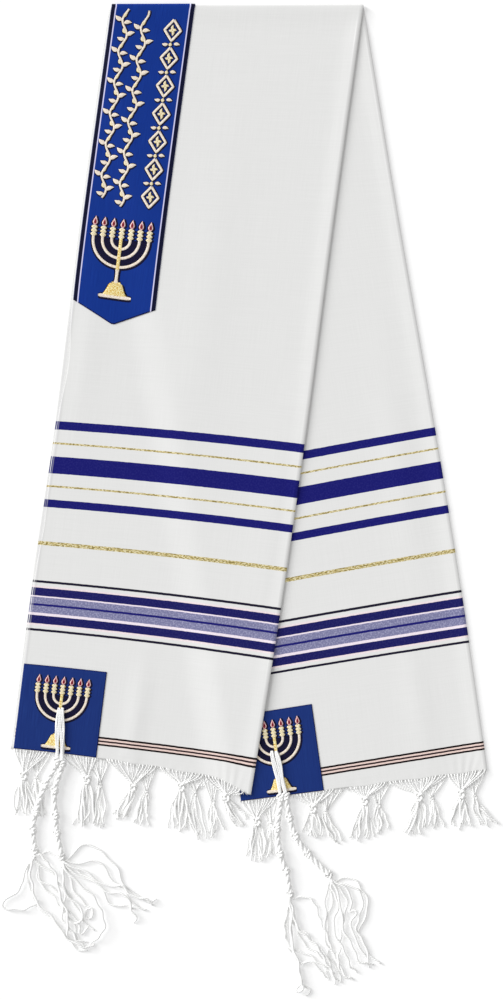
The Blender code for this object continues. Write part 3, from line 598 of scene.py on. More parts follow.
# %% [markdown]
# ## The two halves that show
# Each is a grid: one parameter runs up the cloth from the hem, the other from the free edge over the
# top, round the fold in half a flat ellipse and a little way back underneath. Points crowd together near the
# edge and the fold, where the form turns. Blender's Solidify then gives the sheet its thickness, so
# the grid itself stays simple. The front also turns over the crease at the top.

# %% Front and back cloth
CLOTH_THICK = 0.7
SELVEDGE_RISE = 0.22
SELVEDGE_PLACE = 2.5
SELVEDGE_HALF = 1.3
FRONT_LIFT = 7.9
BACK_LIFT = 9.2
LIFT_FADE = 70.0
# How far the back's stripes lie above where even cloth would put them, by hem distance
SLACK_AT = (0.0, 120.0, 143.0, 156.0, 200.0, 245.0, 300.0, 338.0, 364.0, 385.0, 430.0)
BACK_SLACK = (0.0, 1.0, 1.8, 0.9, 1.6, 2.1, 1.8, 1.1, -0.3, -2.3, 0.0)
ROW_SPACING = 3.2
OVER_COLUMNS = 92
CROWDING = 0.8
HEM_ZONE = 24.0
HEM_LINES = 13
FRONT_LAST = 885.0
NOSE_TURNS = np.radians(np.linspace(80.0, -90.0, 14))
NOSE_REACH = 4.6
NOSE_LENGTH = 1.5 * NOSE_REACH
NOSE_SQUEEZE = 1.3
FOLD_PROBE = 1.0
UNDER_STEPS = np.array((2.0, 5.0, 9.0, LIP - NOSE_REACH - 1.3))
START_SHORT = 1.5
START_STEPS = 400
CREASE_TURNS = np.radians(np.linspace(0.0, 180.0, 13))


def grid_faces(rows, columns):
    """Four-sided faces of a grid of points, one for each cell, facing up where rows run away in y."""
    index = np.arange(rows * columns).reshape(rows, columns)
    return np.stack((index[:-1, :-1], index[:-1, 1:], index[1:, 1:], index[1:, :-1]), axis=-1).reshape(-1, 4)


def crowded(count):
    """Shares from 0 to 1 that lie closer together near both ends: s - c sin(2 pi s) / 2 pi."""
    even = np.linspace(0.0, 1.0, count)
    return even - CROWDING * np.sin(2.0 * math.pi * even) / (2.0 * math.pi)


def stripe_lift(rows, distance, inward):
    """How far stripes lie above their even place: the lowest rise towards the fold, and fade upwards.

    The rise is lift s^2 on the front and lift s on the back, s being the share of the width, times
    exp(-(d / fade)^2).
    """
    share = inward / row_width(rows, distance)
    fade = np.exp(-(distance / LIFT_FADE) ** 2)
    if rows is FRONT_ROWS:
        return FRONT_LIFT * share * share * fade
    return BACK_LIFT * share * fade + np.interp(distance, SLACK_AT, BACK_SLACK)


def half_grid(rows, distances, start, top, lip, tassels):
    """Points and cloth coordinates of one half, a line of them for each hem distance."""
    distance = distances[:, None]
    width = row_width(rows, distance)
    way_x = (along(rows, "right_x", distance) - along(rows, "left_x", distance)) / width
    way_y = (along(rows, "right_y", distance) - along(rows, "left_y", distance)) / width
    low_corner = droop(rows, distance, 0.0)
    right_x = along(rows, "right_x", distance) + low_corner * DROOP[0]
    right_y = along(rows, "right_y", distance) + low_corner * DROOP[1]
    high = top(right_x - FOLD_PROBE, right_y)
    low = lip(right_x - FOLD_PROBE, right_y)
    radius = (high - low) / 2.0
    inward = start(distance) + (width - NOSE_REACH - start(distance)) * crowded(OVER_COLUMNS)
    x, y = row_point(rows, distance, inward)
    z = top(x, y) + hem_pucker(tassels, x, distance)
    z = z + SELVEDGE_RISE * np.exp(-((inward - SELVEDGE_PLACE) / SELVEDGE_HALF) ** 2)
    y = y - hem_pull(tassels, x, distance)
    over = np.stack((x, y, z), axis=-1)
    over[:, -1, 2] = high[:, 0]
    nose_x = right_x - way_x * NOSE_REACH * (1.0 - np.cos(NOSE_TURNS))
    nose_y = right_y - way_y * NOSE_REACH * (1.0 - np.cos(NOSE_TURNS))
    nose_z = (high + low) / 2.0 + radius * np.sin(NOSE_TURNS)
    nose = np.stack((nose_x, nose_y, nose_z), axis=-1)
    back = width - NOSE_REACH - UNDER_STEPS
    x, y = row_point(rows, distance, back)
    under = np.stack((x, y, lip(x, y)), axis=-1)
    points = np.concatenate((over, nose, under), axis=1)
    turned = width - NOSE_REACH + NOSE_REACH * (math.pi / 2.0 - NOSE_TURNS) / NOSE_SQUEEZE
    beneath = width + NOSE_LENGTH + (width - NOSE_REACH - back)
    across = np.concatenate((inward, turned, beneath), axis=1)
    woven = distance - stripe_lift(rows, distance, np.minimum(across, width))
    return points, np.stack((across, woven), axis=-1)


def bend_over(line, lift=0.0):
    """A line of points at the crease, turned half a circle about the crease's axis, and its short tail.

    Each point keeps its reach from the axis: y + reach sin(a), z + reach cos(a).
    """
    radius = bend_radius(line[:, 0])
    axis_y = crease_y(line[:, 0]) - radius
    axis_z = CREASE_TOP - radius
    reach = line[:, 2] + lift - axis_z
    turn = CREASE_TURNS[:, None]
    x = np.broadcast_to(line[:, 0], (len(CREASE_TURNS), len(line)))
    turned = np.stack((x, axis_y + reach * np.sin(turn), axis_z + reach * np.cos(turn)), axis=-1)
    tail = turned[-1:].copy()
    tail[0, :, 1] = crease_y(line[:, 0]) - CREASE_RADIUS - CREASE_TAIL
    return np.concatenate((turned, tail))


def cloth_piece(name, points, uv, material, thick):
    """A thin shell: the grid, and Solidify to give it its thickness inwards."""
    faces = grid_faces(*points.shape[:2])
    corner_uv = uv.reshape(-1, 2)[faces.ravel()]
    made = add_piece(name, points, faces, [material], corner_uv)
    wall = made.modifiers.new("thickness", "SOLIDIFY")
    wall.thickness = thick * MM
    wall.offset = -1.0
    return made


def lines_up_to(last):
    """Hem distances of a half's lines: close together where the hem puckers, and even above that."""
    above = np.linspace(HEM_ZONE, last, int(PANEL_LENGTH / ROW_SPACING))
    return np.concatenate((np.linspace(0.0, HEM_ZONE, HEM_LINES)[:-1], above))


front_lines = np.append(lines_up_to(FRONT_LAST), PANEL_LENGTH)
front_points, front_uv = half_grid(FRONT_ROWS, front_lines, peek,
                                   front_top, front_lip, FRONT_TOP)
last_line = front_points[-1].copy()
last_line[:, 1] = crease_y(last_line[:, 0]) - bend_radius(last_line[:, 0])
front_bend = bend_over(last_line)
bend_uv = np.repeat(front_uv[-1:], len(front_bend), axis=0)
BEND_REACH = np.append(CREASE_TURNS, math.pi + 0.5)[:, None] * CREASE_RADIUS
bend_uv[:, :, 1] = PANEL_LENGTH - CREASE_RADIUS + BEND_REACH
front_cloth = cloth_piece("front_cloth_piece", np.concatenate((front_points[:-1], front_bend)),
                          np.concatenate((front_uv[:-1], bend_uv)), SHAWL_CLOTH, CLOTH_THICK)
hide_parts("front_cloth")


def back_start(distance):
    """Where the back half's upper layer starts: its own edge, or a lip's width under the front's fold."""
    inward = np.linspace(0.0, 1.0, START_STEPS) * row_width(BACK_ROWS, distance)
    x, y = row_point(BACK_ROWS, distance, inward)
    hidden = x < edge_x(FRONT_ROWS, "right", y) - LIP + START_SHORT
    first = np.count_nonzero(hidden, axis=1)
    return np.take_along_axis(inward, first[:, None], axis=1)


back_points, back_uv = half_grid(BACK_ROWS, lines_up_to(BACK_END), back_start, back_top, back_lip,
                                 BACK_TOP)
back_cloth = cloth_piece("back_cloth_piece", back_points, back_uv, SHAWL_CLOTH, CLOTH_THICK)
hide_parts("back_cloth")
print("front grid:", front_points.shape, "back grid:", back_points.shape)

# %% [markdown]
# ## The layers out of sight
# Under each half lies its second layer. Only its edges ever show, beside the free edge of the front
# and under the fringes, so each is one closed body: a lower grid on the table, an upper grid just
# under the cloth above, and a strip that joins them all round. The front's has a rounded edge.

# %% Hidden layers
UNDER_EDGE = 2.0
UNDER_LAST = 880.0
UNDER_GRID = (150, 60)
BACK_UNDER_GRID = (120, 40)
UNDER_LIP = 6.0
SLAB_EASE = 3.0
FILL_START = 4.0
FILL_EASE = 3.0
# The under layer has its own corner square, so its lowest stripes don't show at its edge
SQUARE_HIDES = 60.0
FREE_EDGE_PROFILE = ((0.0, 0.1), (-0.35, 0.4), (-0.2, 0.75), (0.4, 0.95), (1.4, 1.0))


def closed_body(name, lower, upper, uv, material):
    """A closed body between two grids: both grids, and four-sided faces round their border."""
    rows, columns = lower.shape[:2]
    index = np.arange(rows * columns).reshape(rows, columns)
    rim = np.concatenate((index[0, :-1], index[:-1, -1], index[-1, :0:-1], index[:0:-1, 0]))
    after = np.roll(rim, -1)
    shift = rows * columns
    floor = grid_faces(rows, columns)[:, ::-1]
    ceiling = grid_faces(rows, columns) + shift
    sides = np.stack((rim, after, after + shift, rim + shift), axis=-1)
    faces = np.concatenate((floor, ceiling, sides))
    both_uv = np.concatenate((uv.reshape(-1, 2), uv.reshape(-1, 2)))
    points = np.concatenate((lower.reshape(-1, 3), upper.reshape(-1, 3)))
    return add_piece(name, points, faces, [material], both_uv[faces.ravel()])


def hidden_front():
    """The front's under layer and its filling, from its free edge to short of the front's fold."""
    last = PANEL_LENGTH - CREASE_RADIUS - CREASE_TAIL - GAP
    distance = np.append(np.linspace(0.0, UNDER_LAST, UNDER_GRID[0]), last)[:, None]
    width = row_width(FRONT_ROWS, distance)
    edge = np.array(FREE_EDGE_PROFILE)
    span = width - LIP - UNDER_LIP - peek(distance)
    covered = peek(distance) + UNDER_EDGE + span * np.linspace(0.0, 1.0, UNDER_GRID[1])
    inward = np.concatenate((edge[:, 0] - UNDER_EDGE + 0.0 * distance, covered), axis=1)
    x, y = row_point(FRONT_ROWS, distance, inward)
    under = front_top(x, y) - CLOTH_THICK - GAP
    on_back = smooth_step((x - edge_x(BACK_ROWS, "left", y) + SLAB_EASE) / SLAB_EASE)
    slab = (WALL + GAP) * on_back
    top = np.minimum(under, WALL)
    top[:, :len(edge)] = edge[:, 1]
    lift = smooth_step((inward - peek(distance) + UNDER_EDGE - FILL_START) / FILL_EASE)
    top = np.maximum(top + (under - top) * lift, slab + GAP)
    lower = np.stack((x, y, slab), axis=-1)
    upper = np.stack((x, y, top), axis=-1)
    woven = np.broadcast_to(np.maximum(distance, SQUARE_HIDES), inward.shape)
    uv = np.stack((inward + UNDER_EDGE, woven), axis=-1)
    return closed_body("under_layer_front", lower, upper, uv, SHAWL_CLOTH)


def hidden_back():
    """The back's under layer, 1 mm thick, up to short of the back's lip."""
    distance = np.linspace(0.0, BACK_END - UNDER_EDGE, BACK_UNDER_GRID[0])[:, None]
    inward = (row_width(BACK_ROWS, distance) - LIP - GAP) * np.linspace(0.0, 1.0, BACK_UNDER_GRID[1])
    x, y = row_point(BACK_ROWS, distance, inward)
    lower = np.stack((x, y, 0.0 * x), axis=-1)
    upper = np.stack((x, y, 0.0 * x + WALL), axis=-1)
    uv = np.stack((inward, np.broadcast_to(distance, inward.shape)), axis=-1)
    return closed_body("under_layer_back", lower, upper, uv, SHAWL_CLOTH)


under_front = hidden_front()
under_back = hidden_back()
for piece in (under_front, under_back):
    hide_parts("hidden_layers")
print("hidden bodies:", len(under_front.data.polygons), "and", len(under_back.data.polygons), "faces")

# %% [markdown]
# ## Satin ribbon
# The neckband and the corner squares are woven satin: long floats of blue thread lie side by side and
# give a smooth face with a soft shine along them, and very fine ribs up close. A darker rim is woven
# along the band's edges with one pale line inside it, and a narrow dark rim runs round the squares.

# %% Satin materials
SATIN_RIB = 0.9
SATIN_STREAK = (0.8, 30.0, 0.35, 0.65)
SATIN_CLOUD = (18.0, 25.0, 0.35, 0.65, 2.0)
BAND_BLUES = ("092C82", "113892", "0D3288")
PATCH_BLUES = ("162C6E", "1F3A80", "1A3276")
BAND_END_BLUE = "0E1550"
BAND_DARK_EDGE = "0B0D2C"
BAND_PALE_LINE = "D5D3F2"
PATCH_DARK_EDGE = "0D1A58"


def satin_base(name, blues):
    """Blue polyester satin: smooth, softly glossy, with slight streaks from thread to thread."""
    material, shader = new_material(name)
    place, across, along_it = cloth_axes(material)
    dark, light, middle = blues
    blue = laid_over(material, dark, (specks(material, place, *SATIN_STREAK), light),
                     (specks(material, place, *SATIN_CLOUD), middle))
    rib = add_node(material, "Math", {0: across, 1: 2.0 * math.pi / SATIN_RIB}, operation="MULTIPLY")
    wave = add_node(material, "Math", {0: rib}, operation="SINE")
    plug(material, shader, {
        "Normal": add_node(material, "Bump", {"Strength": 0.25, "Distance": 0.0001, "Height": wave}),
        "Roughness": 0.42,
        "IOR": 1.48,
        "Specular IOR Level": 0.1,
    })
    return material, shader, across, along_it, blue


def to_edges(material, value, low, high):
    """Distance in mm to the nearer of two edges."""
    first = add_node(material, "Math", {0: value, 1: low}, operation="SUBTRACT")
    second = add_node(material, "Math", {0: high, 1: value}, operation="SUBTRACT")
    return add_node(material, "Math", {0: first, 1: second}, operation="MINIMUM")


def neckband_satin():
    """Satin with a 3.4 mm dark strip along both edges and a pale line beside it."""
    material, shader, across, along_it, blue = satin_base("blue_satin_neckband", BAND_BLUES)
    inside = to_edges(material, across, EDGE_MARGIN, BAND_WIDTH - EDGE_MARGIN)
    colour = laid_over(material, blue,
                       (within(material, along_it, -1.0, 1.5, 0.5), BAND_END_BLUE),
                       (within(material, inside, -1.0, 3.4), BAND_DARK_EDGE),
                       (within(material, inside, 3.6, 5.0), BAND_PALE_LINE))
    plug(material, shader, {"Base Color": colour})
    return material


def patch_satin():
    """Satin with a 1 mm dark rim all round."""
    material, shader, across, along_it, blue = satin_base("blue_satin_corner_patch", PATCH_BLUES)
    sideways = to_edges(material, across, 0.0, PATCH_WIDTH)
    upright = to_edges(material, along_it, EDGE_MARGIN, PATCH_HEIGHT)
    inside = add_node(material, "Math", {0: sideways, 1: upright}, operation="MINIMUM")
    rim = within(material, inside, -3.0, 1.0, 0.6)
    plug(material, shader, {"Base Color": laid_over(material, blue, (rim, PATCH_DARK_EDGE))})
    return material


NECKBAND_SATIN = neckband_satin()
PATCH_SATIN = patch_satin()
print("satin nodes:", len(NECKBAND_SATIN.node_tree.nodes), "and", len(PATCH_SATIN.node_tree.nodes))

# %% [markdown]
# ## Neckband and corner squares
# Both are made from the cloth's own points, moved out by a hair, so that they follow every ridge under
# them. A ribbon sewn on is a little sunk along its row of stitches and rounded at its cut edge, which
# is one formula of the distance from its edge.

# %% Sewn-on pieces
RIBBON_THICK = 0.75
STITCH_INSET = 2.2


def ribbon_lift(from_edge):
    """Height of a ribbon's face over the cloth: rounded at its edge, with a groove at the stitches."""
    rounded = RIBBON_THICK * (1.0 - 0.55 * np.exp(-(np.maximum(from_edge, 0.0) / 0.7) ** 2))
    groove = 0.22 * np.exp(-((from_edge - STITCH_INSET) / 0.6) ** 2)
    return GAP + rounded - groove


def band_start_at(share):
    """Hem distance of the band's end: straight from its left side to its point, and on to its right."""
    return np.interp(share, (0.0, 0.5, 1.0), BAND_ENDS)


def band_inward(share, distance):
    """Distance in from the cloth's edge at a share of the band's width: it follows the cloth's edge."""
    left = peek(distance) + EDGE_MARGIN
    return left + share * (BAND_WIDTH - EDGE_MARGIN - left)


def on_front(inward, distance, lift):
    """A point on the front's upper layer, raised by lift."""
    x, y = row_point(FRONT_ROWS, distance, inward)
    return np.stack((x, y, front_top(x, y) + lift), axis=-1)


def on_back(inward, distance, lift):
    """A point on the back's upper layer, raised by lift."""
    x, y = row_point(BACK_ROWS, distance, inward)
    return np.stack((x, y, back_top(x, y) + lift), axis=-1)


def neckband_piece():
    share = crowded(46)[None, :]
    flat_share = BAND_WIDTH * share
    begin = band_start_at(share)
    step = np.linspace(0.0, 1.0, 130)[:, None]
    distance = begin + (885.0 - begin) * (step + 0.6 * step * (step - 1.0) * np.exp(-6.0 * step))
    distance = np.concatenate((distance, np.full((1, share.size), PANEL_LENGTH)))
    inward = band_inward(share, distance)
    side = np.minimum(flat_share, BAND_WIDTH - flat_share)
    point_edge = (distance - begin) * 0.9
    from_edge = np.minimum(side, point_edge)
    uppers = on_front(inward, distance, ribbon_lift(from_edge))
    lowers = on_front(inward, distance, GAP)
    upper_last = uppers[-1]
    lower_last = lowers[-1]
    for line in (upper_last, lower_last):
        line[:, 1] = crease_y(line[:, 0]) - bend_radius(line[:, 0])
    upper = np.concatenate((uppers[:-1], bend_over(upper_last)))
    lower = np.concatenate((lowers[:-1], bend_over(lower_last)))
    turned = PANEL_LENGTH + BEND_REACH
    up_cloth = np.concatenate((distance[:-1], turned + 0.0 * share)) - begin
    uv = np.stack((np.broadcast_to(flat_share, up_cloth.shape), up_cloth), axis=-1)
    return closed_body("neckband_ribbon", lower, upper, uv, NECKBAND_SATIN)


def corner_patch(name, start, place):
    """A square on a corner: across from its start by the free edge, and up from the hem."""
    distance = (EDGE_MARGIN + (PATCH_HEIGHT - EDGE_MARGIN) * crowded(46))[:, None]
    share = crowded(46)[None, :]
    left = start(distance) + EDGE_MARGIN
    inward = left + share * (PATCH_WIDTH - left)
    sides = np.minimum(inward - left, PATCH_WIDTH - inward)
    ends = np.minimum(distance - EDGE_MARGIN, PATCH_HEIGHT - distance)
    lift = ribbon_lift(np.minimum(sides, ends))
    uv = np.stack((inward, np.broadcast_to(distance, inward.shape)), axis=-1)
    return closed_body(name, place(inward, distance, GAP), place(inward, distance, lift), uv, PATCH_SATIN)


neckband = neckband_piece()
patch_front = corner_patch("corner_patch_front_piece", peek, on_front)
patch_back = corner_patch("corner_patch_back_piece", back_start, on_back)
for piece, node in ((neckband, "neckband"), (patch_front, "corner_patch_front"),
                    (patch_back, "corner_patch_back")):
    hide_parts(node)
print("ribbon faces:", len(neckband.data.polygons))

# %% [markdown]
# ## Embroidery
# The motifs are filled with thread that stands a little above the satin. Every one of them is built
# from strokes: a centre line and a width that changes along it. An arm of the lampstand is an arc of
# even width, a flame is a short line that swells and closes to a point, and so is a leaf. A stroke's
# section is a low arch, and it is laid on the ribbon with the same function that made the ribbon.

# %% Strokes of thread
STROKE_SECTION = np.array([(-1.0, 0.0), (-0.86, 0.62), (-0.45, 0.95), (0.0, 1.0),
                           (0.45, 0.95), (0.86, 0.62), (1.0, 0.0)])

Stroke = namedtuple("Stroke", "line half_widths rise base finish")


def evenly(line, count):
    """Points spaced evenly along a plan line of a few points."""
    line = np.asarray(line, dtype=float)
    reached = np.concatenate(([0.0], np.cumsum(np.hypot(*np.diff(line, axis=0).T))))
    at = np.linspace(0.0, reached[-1], count)
    return np.column_stack([np.interp(at, reached, line[:, axis]) for axis in (0, 1)])


def arc(centre, radius, first, last, count=25):
    """Points of an arc, its angles in degrees."""
    turn = np.radians(np.linspace(first, last, count))
    return np.column_stack((centre[0] + radius * np.cos(turn), centre[1] + radius * np.sin(turn)))


def stroke_arrays(stroke, place):
    """Points, faces and UV of one stroke: its arch carried along its line, closed below.

    place(u, v, lift) puts a point of the motif on the cloth.
    """
    line = stroke.line
    way = np.gradient(line, axis=0)
    way = way / np.hypot(way[:, 0], way[:, 1])[:, None]
    sideways = np.column_stack((way[:, 1], -way[:, 0]))
    half = np.broadcast_to(stroke.half_widths, (len(line),))
    offset = half[:, None, None] * STROKE_SECTION[None, :, :1] * sideways[:, None, :]
    plan = line[:, None, :] + offset
    rise = stroke.rise * np.minimum(1.0, half / np.max(half) + 0.25)
    lift = stroke.base + rise[:, None] * STROKE_SECTION[None, :, 1]
    points = place(plan[..., 0], plan[..., 1], lift)
    rows, columns = plan.shape[:2]
    top = grid_faces(rows, columns)
    index = np.arange(rows * columns).reshape(rows, columns)
    flat = np.stack((index[:-1, 0], index[1:, 0], index[1:, -1], index[:-1, -1]), axis=-1)
    ends = []
    for end, order in ((index[0], 1), (index[-1], -1)):
        for first in (0, 2, 4):
            last = min(first + 3, columns - 1)
            ends.append(end[[0, first + 1, first + 2, last]][::order])
    ends = np.array([face for face in ends if len(set(face.tolist())) == 4])
    reached = np.concatenate(([0.0], np.cumsum(np.hypot(*np.diff(line, axis=0).T))))
    along_line = np.broadcast_to(reached[:, None], (rows, columns))
    uv = np.stack((half[:, None] * STROKE_SECTION[:, 0], along_line), axis=-1)
    return points.reshape(-1, 3), np.concatenate((top, flat, ends)), uv.reshape(-1, 2)


def joined(parts):
    """One set of arrays from several, the faces renumbered."""
    shifts = np.cumsum([0] + [len(part[0]) for part in parts[:-1]])
    points = np.concatenate([part[0] for part in parts])
    faces = np.concatenate([part[1] + shift for part, shift in zip(parts, shifts)])
    uv = np.concatenate([part[2][part[1].ravel()] for part in parts])
    return points, faces, uv


FINISHES = ("dark", "cream", "gold", "pale_gold", "flame", "ember")


def embroidery(name, strokes, place, materials):
    """All strokes of a motif as one piece, each with the material of its finish."""
    parts = [stroke_arrays(stroke, place) for stroke in strokes]
    points, faces, uv = joined(parts)
    slots = np.concatenate([np.full(len(part[1]), FINISHES.index(stroke.finish))
                            for part, stroke in zip(parts, strokes)])
    made = add_piece(name, points, faces, materials, uv, slots)
    return made


# %% [markdown]
# Embroidery thread is viscose or metallic yarn laid in tight rows. To the eye it is brighter than the
# cloth, with a fine grain across the stroke. The gold one is wrapped in metal film; its light and dark
# yellow specks are painted reflections of that film, as it is barely metallic. The dark one outlines the
# rest.

# %% Thread materials
STITCH_PITCH = 1.0
THREAD_SPECKS = (1.6, 1.3, 0.44, 0.56, 1.0)

Thread = namedtuple("Thread", "name light dark metallic roughness depth")
THREADS_USED = (
    Thread("black_outline_thread", "110E36", "090722", 0.0, 0.9, 0.2),
    Thread("cream_embroidery_thread", "FBF2E6", "E4D3BC", 0.0, 0.6, 0.4),
    # The gold thread's light and dark specks are painted reflections of its metal film; the thread is barely
    # metallic
    Thread("gold_metallic_thread", "FFF8BE", "E0B550", 0.05, 0.5, 0.5),
    Thread("pale_gold_thread", "FFFAE4", "E2CC92", 0.0, 0.5, 0.5),
    Thread("flame_rose_thread", "F8DEDC", "E09A9C", 0.0, 0.6, 0.3),
    Thread("flame_heart_thread", "96262F", "6A1424", 0.0, 0.7, 0.3),
)


def thread_material(thread):
    """Rows of laid thread across a stroke, STITCH_PITCH apart, with specks of another tone; painted
    reflections on gold.
    """
    material, shader = new_material(thread.name)
    place, _, along_it = cloth_axes(material)
    rows = add_node(material, "Math", {0: along_it, 1: 2.0 * math.pi / STITCH_PITCH}, operation="MULTIPLY")
    wave = add_node(material, "Math", {0: rows}, operation="SINE")
    plug(material, shader, {
        "Base Color": laid_over(material, thread.dark,
                                (specks(material, place, *THREAD_SPECKS), thread.light)),
        "Normal": add_node(material, "Bump",
                           {"Strength": thread.depth, "Distance": 0.0002, "Height": wave}),
        "Metallic": thread.metallic,
        "Roughness": thread.roughness,
        "Specular IOR Level": 0.2,
    })
    return material


EMBROIDERY = [thread_material(thread) for thread in THREADS_USED]
print("thread materials:", len(EMBROIDERY))

# %% [markdown]
# ## The lampstand
# Seven lights on a stem with three pairs of curved arms is one of the oldest motifs of its kind. Drawn
# as a textbook would: the arms are half circles round one centre, a step apart, so every light stands
# at the same height. Cups of three beads carry the flames, and a domed foot stands on a bar. The dark
# outline is the same strokes again, wider, lower and a little to the right.

# %% Lampstand strokes
OUTLINE_WIDTH = 2.0
OUTLINE_SHIFT = np.array((0.5, -0.5))
OUTLINE_RISE = 0.12
OUTLINE_SINK = 0.02
GROUND_SINK = 0.05
THREAD_RISE = 0.42
ARM_STEP = 10.4
KNOBS = (10.4, 20.8, 31.2)
SHAFT_FROM = -49.5
SHAFT_TO = -34.0
FACE = GAP + RIBBON_THICK


def outlined(strokes, wider):
    """The same strokes in dark thread: wider, lower and a little to the right."""
    return [Stroke(one.line + OUTLINE_SHIFT, one.half_widths + wider, OUTLINE_RISE, FACE - OUTLINE_SINK,
                   "dark") for one in strokes]


def lampstand(centre, size):
    """Strokes of the lampstand, about 90 mm high at size 1, its arms' centre at the given point."""
    step = ARM_STEP * size
    strokes = []
    ground = []

    def add(line, half_widths, finish, rise=THREAD_RISE, base=FACE):
        half_widths = np.asarray(half_widths, dtype=float)
        strokes.append(Stroke(np.asarray(line) + centre, half_widths, rise, base, finish))

    for pair in (0, 1, 2):
        radius = step * (pair + 0.5)
        bowl = arc((0.0, 0.0), radius, 176.0, 364.0, 16 + 8 * pair)
        half_width = np.full(len(bowl), step / 2.0 + 0.3)
        ground.append(Stroke(bowl + centre, half_width, OUTLINE_RISE, FACE - GROUND_SINK, "dark"))
    for pair in (1, 2, 3):
        radius = step * pair
        bowl = arc((0.0, 0.0), radius, 180.0, 360.0, 12 + 8 * pair)
        line = np.concatenate(([(-radius, 2.5 * size)], bowl, [(radius, 2.5 * size)]))
        add(line, np.full(len(line), 1.6 * size), "cream")
    place = np.linspace(SHAFT_FROM, SHAFT_TO, 16)
    flare = (1.3 * np.exp(-((place - SHAFT_FROM) / 2.2) ** 2)
             + 0.6 * np.exp(-((place - SHAFT_TO) / 2.0) ** 2))
    add(np.column_stack((0.0 * place, place * size)), (1.75 + flare) * size, "cream", 0.5)
    place = np.linspace(-34.5, 3.0, 31)
    knobs = sum(np.exp(-((place + step_down) / 1.6) ** 2) for step_down in KNOBS)
    add(np.column_stack((0.0 * place, place * size)), (1.9 + 0.8 * knobs) * size, "gold", 0.5)
    for light in range(-3, 4):
        x = light * step
        bead = np.linspace(0.0, 1.0, 31)
        cup = evenly(((x, 1.5 * size), (x, 13.8 * size)), 31)
        beads = np.abs(np.sin(3.0 * math.pi * bead))
        add(cup, (1.4 + 2.1 * beads ** 0.8) * size, "pale_gold", 0.7)
        flame = evenly(((x, 13.9 * size), (x + 0.5 * size, 24.6 * size)), 17)
        share = np.linspace(0.0, 1.0, 17)
        add(flame, (0.15 + 2.7 * np.sin(math.pi * share ** 0.6) ** 1.3) * size, "flame", 0.4)
        heart = evenly(((x + 0.1 * size, 15.2 * size), (x + 0.35 * size, 21.4 * size)), 11)
        share = np.linspace(0.0, 1.0, 11)
        add(heart, (0.15 + 1.45 * np.sin(math.pi * share ** 0.65)) * size, "ember", 0.3, FACE + 0.28)
    neck = evenly(((-5.0 * size, -49.6 * size), (5.0 * size, -49.6 * size)), 9)
    add(neck, np.full(9, 1.2 * size), "gold", 0.5)
    foot = evenly(((0.0, -64.0 * size), (0.0, -50.0 * size)), 26)
    share = np.linspace(0.0, 1.0, 26)
    dome = 6.2 + 5.0 * np.sqrt(1.0 - share) + 3.2 * (1.0 - share) ** 3
    add(foot, dome * size, "gold", 0.6)
    bar = evenly(((-18.5 * size, -65.4 * size), (18.5 * size, -65.4 * size)), 22)
    across = np.linspace(-1.0, 1.0, 22)
    add(bar, (2.1 * np.sqrt(1.0 - 0.75 * across ** 10)) * size, "cream", 0.6)
    edged = [one for one in strokes if one.finish != "ember"]
    return ground + outlined(edged, OUTLINE_WIDTH * size) + strokes


def on_band(u, v, lift):
    """A point of the neckband: u across it from its left edge, v the hem distance of its middle.

    The band's own weft lies square to it, so it leans a little against the cloth's.
    """
    share = (u - EDGE_MARGIN) / (BAND_WIDTH - 2.0 * EDGE_MARGIN)
    distance = v - BAND_LEAN * (u - BAND_WIDTH / 2.0)
    return on_front(band_inward(share, distance), distance, lift)


BAND_LAMP = (48.5, 610.5)
BAND_LAMP_SIZE = 1.04
PATCH_LAMP = (49.5, 68.6)
PATCH_LAMP_SIZE = 0.93
patch_strokes = lampstand(PATCH_LAMP, PATCH_LAMP_SIZE)
embroidery("neckband_lampstand", lampstand(BAND_LAMP, BAND_LAMP_SIZE), on_band, EMBROIDERY)
embroidery("front_patch_lampstand", patch_strokes, on_front, EMBROIDERY)
print("lampstand strokes:", len(patch_strokes))

# %% [markdown]
# ## Corner of the back half
# The back's square is half hidden under the front's fold, where it would lie in the layers between. The
# ribbon starts just under the fold, so the strokes are cut there too: each line keeps only the points
# that lie on the ribbon.

# %% Embroidery on the back square
def kept_on(strokes, start):
    """Each stroke cut where it would leave the ribbon, whose left edge is start(distance)."""
    kept = []
    for one in strokes:
        edge = start(one.line[:, 1][:, None])[:, 0] + EDGE_MARGIN + 1.0
        inside = one.line[:, 0] - one.half_widths > edge
        if np.all(inside):
            kept.append(one)
            continue
        runs = np.split(np.arange(len(inside)), np.flatnonzero(np.diff(inside.astype(int))) + 1)
        for run in runs:
            if inside[run[0]] and len(run) > 3:
                kept.append(one._replace(line=one.line[run], half_widths=one.half_widths[run]))
    return kept


back_strokes = kept_on(patch_strokes, back_start)
embroidery("back_patch_lampstand", back_strokes, on_back, EMBROIDERY)
print("strokes kept on the back square:", len(back_strokes))

# %% [markdown]
# ## Ornament of the neckband
# The upper part of the band carries a plain ornament in the same thread: two waving stems with
# leaves and buds, and a column of lozenges with small rosettes beside them, of the kind found in any
# pattern book for ribbon.

# %% Vine and lozenges
VINE_FROM = 650.0
VINE_TO = 884.0
VINE_SWAY = 3.6
VINE_WAVE = 37.0
ORNAMENT_OUTLINE = 1.3
LOZENGE_MIDDLE = 76.0
LOZENGE_CORNERS = np.array(((0.0, 12.5), (9.5, 0.0), (0.0, -12.5), (-9.5, 0.0), (0.0, 12.5)))
LOZENGE_COUNT = 7
LOZENGE_START = 15.0
LOZENGE_STEP = 33.0


